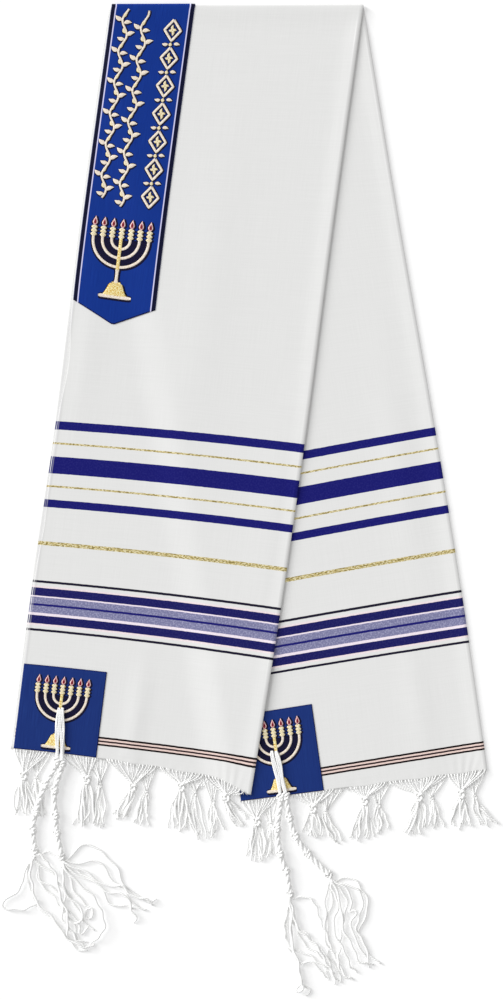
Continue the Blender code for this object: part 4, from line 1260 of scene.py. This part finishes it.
def leaf(base, angle, length, half_width, finish="cream"):
    """A leaf: a line that swells as sin(pi s) and ends in a point, at an angle in degrees."""
    share = np.linspace(0.0, 1.0, 13)
    turn = math.radians(angle)
    bend = 0.12 * length * np.sin(math.pi * share)
    x = base[0] + length * share * math.cos(turn) - bend * math.sin(turn)
    y = base[1] + length * share * math.sin(turn) + bend * math.cos(turn)
    half = 0.12 + half_width * np.sin(math.pi * share ** 0.8)
    return Stroke(np.column_stack((x, y)), half, 0.45, FACE, finish)


def vine(middle, sway, wave, start, end):
    """A stem u = middle + sway sin(2 pi v / wave), with a leaf outwards and a bud inwards at each turn."""
    v = np.linspace(start, end, 120)
    u = middle + sway * np.sin(2.0 * math.pi * (v - start) / wave)
    strokes = [Stroke(np.column_stack((u, v)), np.full(len(v), 1.2), THREAD_RISE, FACE, "cream")]
    for number in range(int((end - start) / wave * 2)):
        at = start + (number + 0.5) * wave / 2
        side = 1.0 if number % 2 == 0 else -1.0
        stem_u = middle + side * sway
        if at + 10.0 > end:
            break
        strokes.append(leaf((stem_u, at), 90.0 - 62.0 * side, 10.0, 2.5))
        strokes.append(leaf((stem_u - side * 2.0, at - 4.0), 90.0 + 80.0 * side, 9.0, 2.3))
        strokes.append(leaf((stem_u - side * 1.5, at + 3.0), 90.0 + 30.0 * side, 7.0, 1.8, "pale_gold"))
    return strokes


def lozenges():
    """Lozenge outlines in a column, each with four petals in it and a bead between."""
    strokes = []
    for number in range(LOZENGE_COUNT):
        at = VINE_FROM + LOZENGE_START + number * LOZENGE_STEP
        line = evenly(LOZENGE_CORNERS + (LOZENGE_MIDDLE, at), 41)
        strokes.append(Stroke(line, np.full(41, 1.45), THREAD_RISE, FACE, "cream"))
        for angle in (0.0, 90.0, 180.0, 270.0):
            length = 4.6 if angle % 180.0 == 0.0 else 6.5
            strokes.append(leaf((LOZENGE_MIDDLE, at), angle, length, 1.6, "pale_gold"))
        if number < LOZENGE_COUNT - 1:
            strokes.append(leaf((LOZENGE_MIDDLE, at + 14.0), 90.0, 4.6, 2.0, "pale_gold"))
            for side in (-1.0, 1.0):
                base = (LOZENGE_MIDDLE + side * 3.4, at + 16.5)
                strokes.append(leaf(base, 90.0 - 90.0 * side, 7.0, 1.9))
    return strokes


ornament = (vine(20.0, VINE_SWAY, VINE_WAVE, VINE_FROM + 8.0, VINE_TO)
            + vine(42.5, VINE_SWAY, VINE_WAVE, VINE_FROM, VINE_TO) + lozenges())
ornament = outlined(ornament, ORNAMENT_OUTLINE) + ornament
embroidery("neckband_ornament", ornament, on_band, EMBROIDERY)
print("ornament strokes:", len(ornament))

# %% [markdown]
# ## Yarn
# Fringe and tassels are the same white cotton yarn, two plies twisted together. The twist shows as
# slanting grooves, made here as a bump that runs round and along the strand in its own coordinates,
# with painted shade, a slightly darker white, in their hollows.
# Strands are tubes: a small ring of points carried along a path, all strands of a bunch at once.

# %% Yarn material and tubes
YARN_TWIST = 3.0
FLOOR_CLEAR = 0.1


def yarn():
    """Two-ply cotton: matt, white, grooves that climb one turn in YARN_TWIST mm, with painted shade in them.
    """
    material, shader = new_material("white_two_ply_cotton_yarn")
    place, around, along_it = cloth_axes(material)
    tone = specks(material, place, 2.0, 9.0, 0.35, 0.65, 2.0)
    colour = laid_over(material, "FAFAF9", (tone, "FFFFFF"))
    climb = add_node(material, "Math", {0: along_it, 1: 2.0 * math.pi / YARN_TWIST}, operation="MULTIPLY")
    turn = add_node(material, "Math", {0: around, 1: 4.0 * math.pi, 2: climb}, operation="MULTIPLY_ADD")
    groove = add_node(material, "Math", {0: turn}, operation="SINE")
    # Painted shade: the grooves' hollows take a slightly darker white, F2F2F0, besides the bump
    painted_groove_shade_mix = add_node(material, "MapRange", {0: groove, 1: -1.0, 2: -0.3})
    plug(material, shader, {
        "Base Color": laid_over(material, "F2F2F0", (painted_groove_shade_mix, colour)),
        "Normal": add_node(material, "Bump", {"Strength": 0.5, "Distance": 0.0003, "Height": groove}),
        "Roughness": 0.9,
    })
    return material


YARN = yarn()


def tubes(paths, radii, sides=4, outward=None):
    """Closed tubes: at each point of a path, sides points centre + r (cos a side + sin a up).

    paths is (strands, points, 3). side lies flat and square to the path, or is outward where the path
    winds round something, and up = along x side.
    """
    paths = np.asarray(paths, dtype=float)
    strands, count = paths.shape[:2]
    way = np.gradient(paths, axis=1)
    way = way / np.linalg.norm(way, axis=-1, keepdims=True)
    side = np.cross(way, (0.0, 0.0, 1.0)) if outward is None else outward
    side = side - way * np.sum(side * way, axis=-1, keepdims=True)
    side = side / np.linalg.norm(side, axis=-1, keepdims=True)
    up = np.cross(way, side)
    turn = 2.0 * math.pi * (np.arange(sides) + 0.5) / sides
    radii = np.broadcast_to(radii, (strands, count))[..., None, None]
    ring = np.cos(turn)[:, None] * side[:, :, None, :] + np.sin(turn)[:, None] * up[:, :, None, :]
    points = paths[:, :, None, :] + radii * ring
    index = np.arange(strands * count * sides).reshape(strands, count, sides)
    after = np.roll(index, -1, axis=2)
    walls = np.stack((index[:, :-1], after[:, :-1], after[:, 1:], index[:, 1:]), axis=-1).reshape(-1, 4)
    caps = []
    for first in range(1, sides - 2, 2):
        fan = (0, first, first + 1, first + 2)
        caps.append(index[:, -1, fan])
        caps.append(index[:, 0, fan][:, ::-1])
    steps = np.linalg.norm(np.diff(paths, axis=1), axis=-1)
    reached = np.concatenate((np.zeros((strands, 1)), np.cumsum(steps, axis=1)), axis=1)
    around = np.arange(sides) / sides
    lower = np.broadcast_to(reached[:, :-1, None], (strands, count - 1, sides))
    upper = np.broadcast_to(reached[:, 1:, None], (strands, count - 1, sides))
    near = np.broadcast_to(around, lower.shape)
    far = near + 1.0 / sides
    round_uv = np.stack((near, far, far, near), axis=-1)
    along_uv = np.stack((lower, lower, upper, upper), axis=-1)
    wall_uv = np.stack((round_uv, along_uv), axis=-1).reshape(-1, 2)
    cap_faces = np.concatenate(caps)
    cap_uv = np.zeros((cap_faces.size, 2))
    return points.reshape(-1, 3), np.concatenate((walls, cap_faces)), np.concatenate((wall_uv, cap_uv))


def yarn_piece(name, parts, node):
    """Several sets of tubes as one piece that stands for a CAD node."""
    shifts = np.cumsum([0] + [len(part[0]) for part in parts[:-1]])
    points = np.concatenate([part[0] for part in parts])
    faces = np.concatenate([part[1] + shift for part, shift in zip(parts, shifts)])
    uv = np.concatenate([part[2] for part in parts])
    made = add_piece(name, points, faces, [YARN], uv)
    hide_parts(node)
    return made


def curve_between(start, start_way, end, end_way, count):
    """Cubic curves from start to end, leaving and arriving along the given ways: (n, count, 3)."""
    t = np.linspace(0.0, 1.0, count)[None, :, None]
    start, start_way, end, end_way = (np.asarray(one, dtype=float)[:, None, :] for one in
                                      (start, start_way, end, end_way))
    return ((2 * t ** 3 - 3 * t ** 2 + 1) * start + (t ** 3 - 2 * t ** 2 + t) * start_way
            + (3 * t ** 2 - 2 * t ** 3) * end + (t ** 3 - t ** 2) * end_way)


def overhand_knot(centre, way, size, thick, tilt=0.5, count=40, sides=6):
    """A closed trefoil, which is an overhand knot pulled round: (R + r cos 3t)(cos 2t, sin 2t), r sin 3t."""
    t = np.linspace(0.0, 2.0 * math.pi, count)
    reach = size * (1.0 + 0.5 * np.cos(3.0 * t))
    flat = np.array((way[0], way[1], 0.0)) / math.hypot(way[0], way[1])
    across = np.array((-flat[1], flat[0], 0.0))
    raised = np.array((0.0, 0.0, 1.0))
    first = flat * math.cos(tilt) + raised * math.sin(tilt)
    axis = raised * math.cos(tilt) - flat * math.sin(tilt)
    path = (np.outer(reach * np.cos(2.0 * t), first) + np.outer(reach * np.sin(2.0 * t), across)
            + np.outer(0.5 * size * np.sin(3.0 * t), axis))
    path[:, 2] *= 0.8
    path = path + centre
    outward = path - centre
    path[:, 2] = np.maximum(path[:, 2], thick + FLOOR_CLEAR)
    return tubes(path[None], thick, sides, outward[None])


# %% [markdown]
# ## Fringe
# Above each knot the warp ends fan in from their stretch of hem; below it they hang as a lock that
# parts into a few strands of its own. Short cut ends stand along the hem. The four rows of fringe,
# one for each layer, differ only in their tables and heights.

# %% Make the fringes
END_SPACING = 3.3
CLUMPS = 4
FAN_RADIUS = 1.0
FAN_POINTS = 9
LOCK_RADIUS = 1.4
LOCK_POINTS = 22
HEM_INSET = 0.8
TUFT_SPACING = 2.0

# Height and size of a row's knots, the yarn's radius in both turns of a knot, and strands in a lock
Layer = namedtuple("Layer", "knot_z knot_size first_turn second_turn strands")
UPPER = Layer(3.7, 3.4, 1.6, 1.4, 12)
UNDER = Layer(1.9, 1.9, 0.9, 0.9, 7)


def hem_point(rows, top, tassels, x):
    """Place of the hem at a given x, and the height of the cloth's middle there."""
    inward = np.linspace(0.0, row_width(rows, 0.0), 300)
    hem_x, hem_y = row_point(rows, 0.0, inward)
    y = np.interp(x, hem_x, hem_y) - hem_pull(tassels, x, 0.0)
    return np.column_stack((x, y + HEM_INSET, top(x, y) - CLOTH_THICK / 2))


def fan_strands(tassel, rows, top, tassels, knot_z, rng):
    """Warp ends from the hem to the knot, gathered by 3.5 sin(0.9 x) so that some close on others."""
    count = max(4, int((tassel.hem_to - tassel.hem_from) / END_SPACING))
    x = np.linspace(tassel.hem_from, tassel.hem_to, count) + rng.uniform(-0.8, 0.8, count)
    start = hem_point(rows, top, tassels, x)
    knot = np.array((tassel.knot_x, tassel.knot_y + 1.5, knot_z))
    end = knot + rng.uniform(-1.0, 1.0, (count, 3)) * (2.2, 1.0, 1.2)
    gather = 3.5 * np.sin(x * 0.9 + tassel.knot_x)
    aside = gather + rng.uniform(-3.0, 3.0, count)
    down = np.column_stack((aside, -16.0 + rng.uniform(-5.0, 5.0, count), 1.0 + 0.0 * x))
    bend = np.column_stack((0.0 * x, -3.0 + 0.0 * x, rng.uniform(-2.0, 2.0, count)))
    arrive = 0.9 * (end - start) + bend
    paths = curve_between(start, down, end, arrive, FAN_POINTS)
    paths[..., 2] = np.maximum(paths[..., 2], FAN_RADIUS + FLOOR_CLEAR)
    return tubes(paths, FAN_RADIUS * rng.uniform(0.8, 1.2, (count, 1)))


def lock_strands(tassel, knot_z, strands, rng):
    """Loose ends below the knot: clumps that part, each end wavy, and curled at its tip."""
    knot = np.array((tassel.knot_x, tassel.knot_y, knot_z))
    clump = np.arange(strands) % CLUMPS
    place = clump / (CLUMPS - 1) * 2.0 - 1.0 + rng.normal(0.0, 0.16, strands)
    reach = np.array((tassel.end_x, tassel.end_y)) - knot[:2]
    shorter = np.abs(rng.normal(0.0, 3.2, CLUMPS))[clump] + rng.uniform(-1.5, 2.5, strands)
    end = np.column_stack((tassel.end_x + place * tassel.spread,
                           tassel.end_y + 2.0 * np.abs(place) + shorter, np.full(strands, 1.8)))
    start = knot + np.column_stack((1.8 * place, -0.6 * np.abs(place),
                                    0.6 * rng.uniform(-1.0, 1.0, strands)))
    length = math.hypot(*reach)
    leave = np.column_stack((place * 10.0 + reach[0] * 0.5, np.full(strands, -0.8 * length),
                             np.full(strands, -1.0)))
    arrive = np.column_stack((reach[0] - place * 5.0 + rng.normal(0.0, 5.0, strands),
                              np.full(strands, reach[1] * 0.8), np.zeros(strands)))
    paths = curve_between(start, leave, end, arrive, LOCK_POINTS)
    share = np.linspace(0.0, 1.0, LOCK_POINTS)
    open_out = smooth_step(share / 0.3)
    spin = rng.choice((-1.0, 1.0), CLUMPS)[clump][:, None]
    angle = rng.uniform(0.0, 2.0 * math.pi, strands)[:, None] + 3.6 * share * spin
    offset = np.sqrt(rng.uniform(0.1, 1.0, strands))[:, None] * (0.7 + open_out * (1.2 + 0.9 * share))
    paths[..., 0] += offset * np.cos(angle)
    paths[..., 2] += 0.8 * offset * np.sin(angle)
    wave = rng.uniform(0.0, 6.28, strands)[:, None] + share * rng.uniform(8.0, 15.0, strands)[:, None]
    paths[..., 0] += 0.7 * open_out * np.sin(wave)
    curl = rng.normal(0.0, 2.4, strands)[:, None] * smooth_step((share - 0.75) / 0.25)
    paths[..., 0] += curl
    paths[..., 2] = np.maximum(paths[..., 2], LOCK_RADIUS + FLOOR_CLEAR)
    thick = LOCK_RADIUS * rng.uniform(0.8, 1.1, (strands, 1)) * (1.0 - 0.45 * share ** 6)
    return tubes(paths, thick, 6)


def hem_tufts(rows, top, tassels, rng):
    """Short cut ends that stand out from the hem."""
    width = float(row_width(rows, 0.0)) - 5.0
    inward = np.arange(1.5, width, TUFT_SPACING)
    x, _ = row_point(rows, 0.0, inward)
    start = hem_point(rows, top, tassels, x)
    away = np.column_stack((rng.normal(0.0, 1.6, len(x)), -rng.uniform(2.0, 6.0, len(x)),
                            rng.normal(0.0, 0.5, len(x))))
    paths = curve_between(start, 0.8 * away, start + away, 1.4 * away, 4)
    paths[..., 2] = np.maximum(paths[..., 2], 0.4)
    return tubes(paths, np.array((0.4, 0.4, 0.34, 0.24)))


def fringe(node, rows, top, tassels, layer, seed):
    """One row of fringe: fans, knots, locks and tufts."""
    rng = np.random.default_rng(seed)
    parts = [hem_tufts(rows, top, tassels, rng)]
    for tassel in tassels:
        parts.append(fan_strands(tassel, rows, top, tassels, layer.knot_z, rng))
        parts.append(lock_strands(tassel, layer.knot_z, layer.strands, rng))
        way = (tassel.end_x - tassel.knot_x, tassel.end_y - tassel.knot_y)
        centre = np.array((tassel.knot_x, tassel.knot_y, layer.knot_z))
        for turn, thick in ((0.45, layer.first_turn), (-0.35, layer.second_turn)):
            parts.append(overhand_knot(centre, way, layer.knot_size, thick, turn))
    return yarn_piece(node + "_piece", parts, node)


def under_height(x, y):
    """The under layers' hems lie on the table."""
    return np.full(np.broadcast(x, y).shape, WALL)


fringes = [
    fringe("fringe_front", FRONT_ROWS, front_top, FRONT_TOP, UPPER, 11),
    fringe("fringe_front_under", FRONT_ROWS, under_height, FRONT_UNDER, UNDER, 12),
    fringe("fringe_back", BACK_ROWS, back_top, BACK_TOP, UPPER, 13),
    fringe("fringe_back_under", BACK_ROWS, under_height, BACK_UNDER, UNDER, 14),
]
print("fringe faces:", [len(piece.data.polygons) for piece in fringes])

# %% [markdown]
# ## Corner tassels
# Four long threads go through an eyelet and hang as eight. Between double knots they are twisted
# together in three plies, and below the last knot all eight hang loose, with kinks left from their
# packing. The table gives the knots from the eyelet down, then how the loose threads lie.

# %% Routes of the corner tassels
Stop = namedtuple("Stop", "x y z")
CORDS = {
    "tzitzit_front_outer": (
        Stop(-226.4, -243.0, 5.6), Stop(-227.4, -275.0, 5.7), Stop(-228.0, -305.0, 6.6),
        Stop(-242.4, -332.9, 5.4), Stop(-252.9, -364.2, 5.3), Stop(-256.4, -385.0, 3.4),
        Stop(-254.0, -408.3, 2.8),
    ),
    "tzitzit_front_inner": (
        Stop(-221.6, -243.0, 5.6), Stop(-222.4, -275.0, 5.7), Stop(-222.0, -307.0, 6.6),
        Stop(-231.0, -338.7, 5.4), Stop(-230.0, -367.7, 5.3), Stop(-228.5, -388.0, 3.4),
        Stop(-223.0, -415.0, 2.8),
    ),
    "tzitzit_back_outer": (
        Stop(20.6, -293.0, 5.6), Stop(26.4, -320.0, 5.7), Stop(31.0, -347.0, 6.6),
        Stop(26.8, -382.8, 5.4), Stop(30.2, -411.8, 5.2), Stop(37.1, -431.5, 3.4), Stop(41.8, -458.2, 2.8),
    ),
    "tzitzit_back_inner": (
        Stop(25.6, -293.0, 5.6), Stop(31.6, -320.0, 5.7), Stop(37.0, -345.0, 6.6),
        Stop(41.0, -370.0, 5.4), Stop(48.0, -391.0, 5.2), Stop(62.3, -411.8, 3.4), Stop(86.7, -436.2, 2.8),
    ),
}
LOOSE = {
    "tzitzit_front_outer": (
        ((-255, -415), (-263, -434), (-258, -462), (-241, -481), (-225, -501), (-208, -519), (-193, -525)),
        ((-253, -418), (-250, -436), (-241, -455), (-226, -470), (-214, -488), (-204, -508), (-196, -521)),
        ((-254, -414), (-267, -440), (-275, -455), (-291, -473), (-277, -478), (-261, -473), (-248, -469)),
        ((-251, -414), (-241, -418), (-233, -432), (-225, -455), (-218, -478), (-216, -501), (-208, -517)),
        ((-248, -412), (-237, -409), (-227, -422), (-220, -443), (-213, -463), (-202, -484), (-184, -501)),
        ((-254, -420), (-247, -440), (-233, -453), (-221, -470), (-208, -487), (-201, -503), (-192, -497)),
        ((-252, -420), (-240, -431), (-226, -446), (-212, -463), (-200, -480), (-205, -494), (-213, -489)),
        ((-256, -422), (-259, -445), (-251, -466), (-234, -488), (-216, -508), (-197, -522), (-186, -515)),
    ),
    "tzitzit_front_inner": (
        ((-218, -420), (-208, -409), (-190, -403), (-174, -411), (-161, -429), (-148, -450), (-116, -472)),
        ((-218, -422), (-197, -421), (-180, -423), (-166, -438), (-153, -455), (-138, -470), (-125, -478)),
        ((-219, -425), (-200, -438), (-174, -454), (-155, -458), (-144, -470), (-138, -483), (-139, -493)),
        ((-219, -425), (-203, -447), (-186, -464), (-175, -479), (-174, -495), (-181, -508), (-189, -520)),
        ((-219, -427), (-209, -452), (-195, -470), (-188, -481), (-194, -488), (-196, -479), (-187, -477)),
        ((-220, -427), (-204, -431), (-186, -444), (-172, -461), (-161, -474), (-149, -471), (-138, -478)),
        ((-222, -427), (-219, -450), (-222, -476), (-217, -496), (-205, -510), (-193, -516)),
        ((-218, -422), (-193, -436), (-169, -448), (-151, -452), (-137, -462), (-123, -466), (-113, -465)),
    ),
    "tzitzit_back_outer": (
        ((41, -469), (38, -487), (36, -508), (43, -524), (49, -541), (55, -559), (64, -571), (59, -576)),
        ((43, -463), (58, -461), (68, -470), (77, -485), (81, -502), (89, -520), (97, -530)),
        ((43, -472), (49, -492), (60, -507), (77, -522), (88, -542), (97, -561)),
        ((42, -473), (51, -495), (64, -512), (79, -528), (89, -546), (93, -564)),
        ((41, -473), (45, -494), (57, -513), (72, -528), (84, -545), (88, -559)),
        ((39, -472), (37, -494), (35, -510), (45, -521), (61, -530), (77, -538), (92, -553)),
        ((42, -470), (45, -490), (42, -510), (49, -534), (65, -539), (79, -548), (86, -557)),
        ((41, -471), (43, -499), (48, -527), (52, -550), (58, -565), (51, -571), (55, -557)),
    ),
    "tzitzit_back_inner": (
        ((92, -443), (106, -440), (121, -448), (130, -461), (129, -483), (123, -507), (132, -528),
         (148, -539)),
        ((93, -444), (111, -449), (124, -463), (124, -484), (119, -502), (128, -520), (136, -544)),
        ((93, -445), (106, -454), (115, -466), (110, -479), (117, -481), (114, -496), (121, -519),
         (131, -537)),
        ((90, -448), (96, -466), (93, -492), (100, -519), (111, -538), (119, -551)),
        ((88, -449), (89, -476), (85, -501), (87, -524), (95, -546), (102, -561)),
        ((87, -450), (82, -472), (82, -496), (86, -519), (95, -536), (108, -553), (114, -559)),
        ((92, -447), (106, -466), (104, -494), (99, -515), (97, -536), (107, -556)),
        ((92, -448), (101, -480), (107, -506), (115, -524), (125, -537), (138, -542)),
    ),
}
print("threads laid by hand:", sum(len(routes) for routes in LOOSE.values()))

# %% Make the corner tassels
PLIES = 3
PLY_RADIUS = 2.0
PLY_REACH = 1.7
PLY_PITCH = 27.0
TURN_POINTS = 18
THREADS = 8
EYELET_DIP = 1.4
BUNDLE_RADIUS = 1.0
THREAD_RADIUS = 1.5


def spline_through(points, count):
    """Points on a smooth curve through a few given ones, a cubic between each pair."""
    values = np.array(points, dtype=float)
    slopes = np.gradient(values, axis=0)
    place = np.linspace(0.0, len(values) - 1.0, count)
    start = np.clip(place.astype(int), 0, len(values) - 2)
    part = (place - start)[:, None]
    blend = part * part * (3.0 - 2.0 * part)
    first = part * (1.0 - part) ** 2 * slopes[start]
    second = part * part * (part - 1.0) * slopes[start + 1]
    return values[start] + blend * (values[start + 1] - values[start]) + first + second


def sideways_of(path):
    """Flat unit vectors square to a path."""
    way = np.gradient(path, axis=0)
    side = np.column_stack((-way[:, 1], way[:, 0], np.zeros(len(way))))
    return side / np.linalg.norm(side, axis=1, keepdims=True)


def eyelet_bundle(stops, rng):
    """The eight threads side by side from the eyelet to the first knot, loosely crossing."""
    count = 26
    centre = spline_through(stops[:3], count)
    side = sideways_of(centre)
    share = np.linspace(0.0, 1.0, count)
    open_out = 0.2 + 0.8 * np.sin(math.pi * share ** 0.7) ** 0.6
    centre[:, 2] -= EYELET_DIP * (1.0 - smooth_step(share / 0.12))
    paths = []
    for number in range(THREADS):
        lane = (number % 4) - 1.5
        layer = 0.65 if number < 4 else -0.5
        sway = 0.7 * np.sin(share * rng.uniform(5.0, 9.0) + rng.uniform(0.0, 6.28))
        path = centre + (lane * 1.15 * open_out + sway)[:, None] * side
        path[:, 2] += layer
        paths.append(path)
    return tubes(np.array(paths), BUNDLE_RADIUS, 6)


def twisted_cord(stops):
    """Three plies from the first knot to the last: c + r (cos(t + p) side + sin(t + p) up)."""
    centre = spline_through(stops, 260)
    core = centre[int(260 * 2 / (len(stops) - 1)):]
    length = np.concatenate(([0.0], np.cumsum(np.linalg.norm(np.diff(core, axis=0), axis=1))))
    at = np.linspace(0.0, length[-1], int(length[-1] / PLY_PITCH * TURN_POINTS))
    line = np.column_stack([np.interp(at, length, core[:, axis]) for axis in range(3)])
    line[:, 2] = np.maximum(line[:, 2], PLY_RADIUS + PLY_REACH)
    side = sideways_of(line)
    way = np.gradient(line, axis=0)
    way = way / np.linalg.norm(way, axis=1, keepdims=True)
    up = np.cross(way, side)
    phase = 2.0 * math.pi * np.arange(PLIES)[:, None] / PLIES
    turn = (2.0 * math.pi * at / PLY_PITCH + phase)[..., None]
    outward = np.cos(turn) * side + np.sin(turn) * up
    return [tubes(line + PLY_REACH * outward, PLY_RADIUS, 8, outward)]


def loose_threads(root, routes, rng):
    """The ends below the last knot: each through its own route, with small kinks, one over another."""
    count = 80
    share = np.linspace(0.0, 1.0, count)
    paths = []
    for number, route in enumerate(routes):
        level = THREAD_RADIUS + 0.15 + 1.2 * (number % 4)
        stops = [(root.x, root.y, root.z), *((x, y, level) for x, y in route)]
        stops[-1] = (*route[-1], THREAD_RADIUS + 0.15)
        path = spline_through(stops, count)
        kink = (1.7 * np.sin(share * rng.uniform(14.0, 24.0) + rng.uniform(0.0, 6.28))
                + 0.8 * np.sin(share * rng.uniform(34.0, 52.0) + rng.uniform(0.0, 6.28)))
        path = path + (kink * smooth_step(share / 0.15))[:, None] * sideways_of(path)
        path[:, 2] = np.maximum(path[:, 2], THREAD_RADIUS + 0.1)
        paths.append(path)
    return tubes(np.array(paths), THREAD_RADIUS * (1.0 - 0.3 * share ** 10), 6)


def corner_tassel(name, stops, routes, seed):
    """Bundle, twisted cord with its double knots, and loose threads, as one piece."""
    rng = np.random.default_rng(seed)
    parts = [eyelet_bundle(stops, rng), *twisted_cord(stops), loose_threads(stops[-1], routes, rng)]
    for number, stop in enumerate(stops[2:]):
        ahead = stops[min(number + 3, len(stops) - 1)]
        behind = stops[number + 1]
        way = (ahead.x - behind.x, ahead.y - behind.y)
        for shift in (-1.5, 1.5):
            centre = np.array(stop) + shift * np.array((*way, 0.0)) / math.hypot(*way)
            parts.append(overhand_knot(centre, way, 2.9, 1.3, 0.8 * shift))
    return yarn_piece(name + "_piece", parts, name)


tassels = [corner_tassel(name, stops, LOOSE[name], seed)
           for seed, (name, stops) in enumerate(CORDS.items(), 31)]
print("corner tassel faces:", [len(piece.data.polygons) for piece in tassels])

# %% [markdown]

# %% [markdown]
# ## Floor, light and camera
# A product photograph of a white thing on white needs a bright, even floor under a white sky. Two
# wide suns stand at the upper left, one of them low, so that they shade the right side of each fold.
# The camera looks straight down.

# %% Floor
def white_floor():
    """Matt white board lit from below, as studios use for cut-outs: shadows on it stay faint."""
    material, shader = new_material("matt_white_board")
    noise = add_node(material, "TexNoise", {"Scale": 3.0, "Detail": 2.0})
    plug(material, shader, {
        "Base Color": laid_over(material, "DFDFDF", (noise, "E1E1E1")),
        "Emission Color": (1.0, 1.0, 1.0, 1.0),
        "Emission Strength": 0.3,
        "Roughness": 1.0,
        "Specular IOR Level": 0.1,
    })
    return material


FLOOR_HALF = 4000.0
FLOOR_HEIGHT = -0.3
corners = np.array([(-1, -1), (1, -1), (1, 1), (-1, 1)]) * FLOOR_HALF
floor_points = np.column_stack((corners, np.full(4, FLOOR_HEIGHT)))
floor_mesh = bpy.data.meshes.new("floor")
floor_mesh.from_pydata((floor_points * MM).tolist(), [], [(0, 1, 2, 3)])
floor_mesh.materials.append(white_floor())
floor = bpy.data.objects.new("floor", floor_mesh)
bpy.context.scene.collection.objects.link(floor)

# %% Light and camera
SKY_STRENGTH = 0.54
world = bpy.data.worlds.new("studio")
world.use_nodes = True
world.node_tree.nodes["Background"].inputs["Color"].default_value = (1.0, 1.0, 1.0, 1.0)
world.node_tree.nodes["Background"].inputs["Strength"].default_value = SKY_STRENGTH
bpy.context.scene.world = world
bpy.context.scene.view_settings.view_transform = "Standard"


def distant_softbox(name, direction, spread, strength):
    """A large softbox so far off that it lights the whole table evenly: a sun with a wide disc."""
    lamp = bpy.data.lights.new(name, "SUN")
    lamp.angle = math.radians(spread)
    lamp.energy = strength
    made = bpy.data.objects.new(name, lamp)
    made.location = direction
    made.rotation_mode = "QUATERNION"
    made.rotation_quaternion = (-made.location).to_track_quat("-Z", "Y")
    bpy.context.scene.collection.objects.link(made)


distant_softbox("key_upper_left", (-3.6, 2.1, 3.5), 24.0, 1.28)
distant_softbox("low_left", (-5.0, 2.6, 2.0), 20.0, 1.85)

VIEW_HEIGHT = 1.16
VIEW_MIDDLE = (-0.0029, -0.0023)
LENS = 100.0
SENSOR = 36.0
camera_data = bpy.data.cameras.new("camera")
camera_data.lens = LENS
camera_data.sensor_width = SENSOR
camera = bpy.data.objects.new("camera", camera_data)
camera.location = (*VIEW_MIDDLE, VIEW_HEIGHT * LENS / SENSOR)
bpy.context.scene.collection.objects.link(camera)
bpy.context.scene.camera = camera
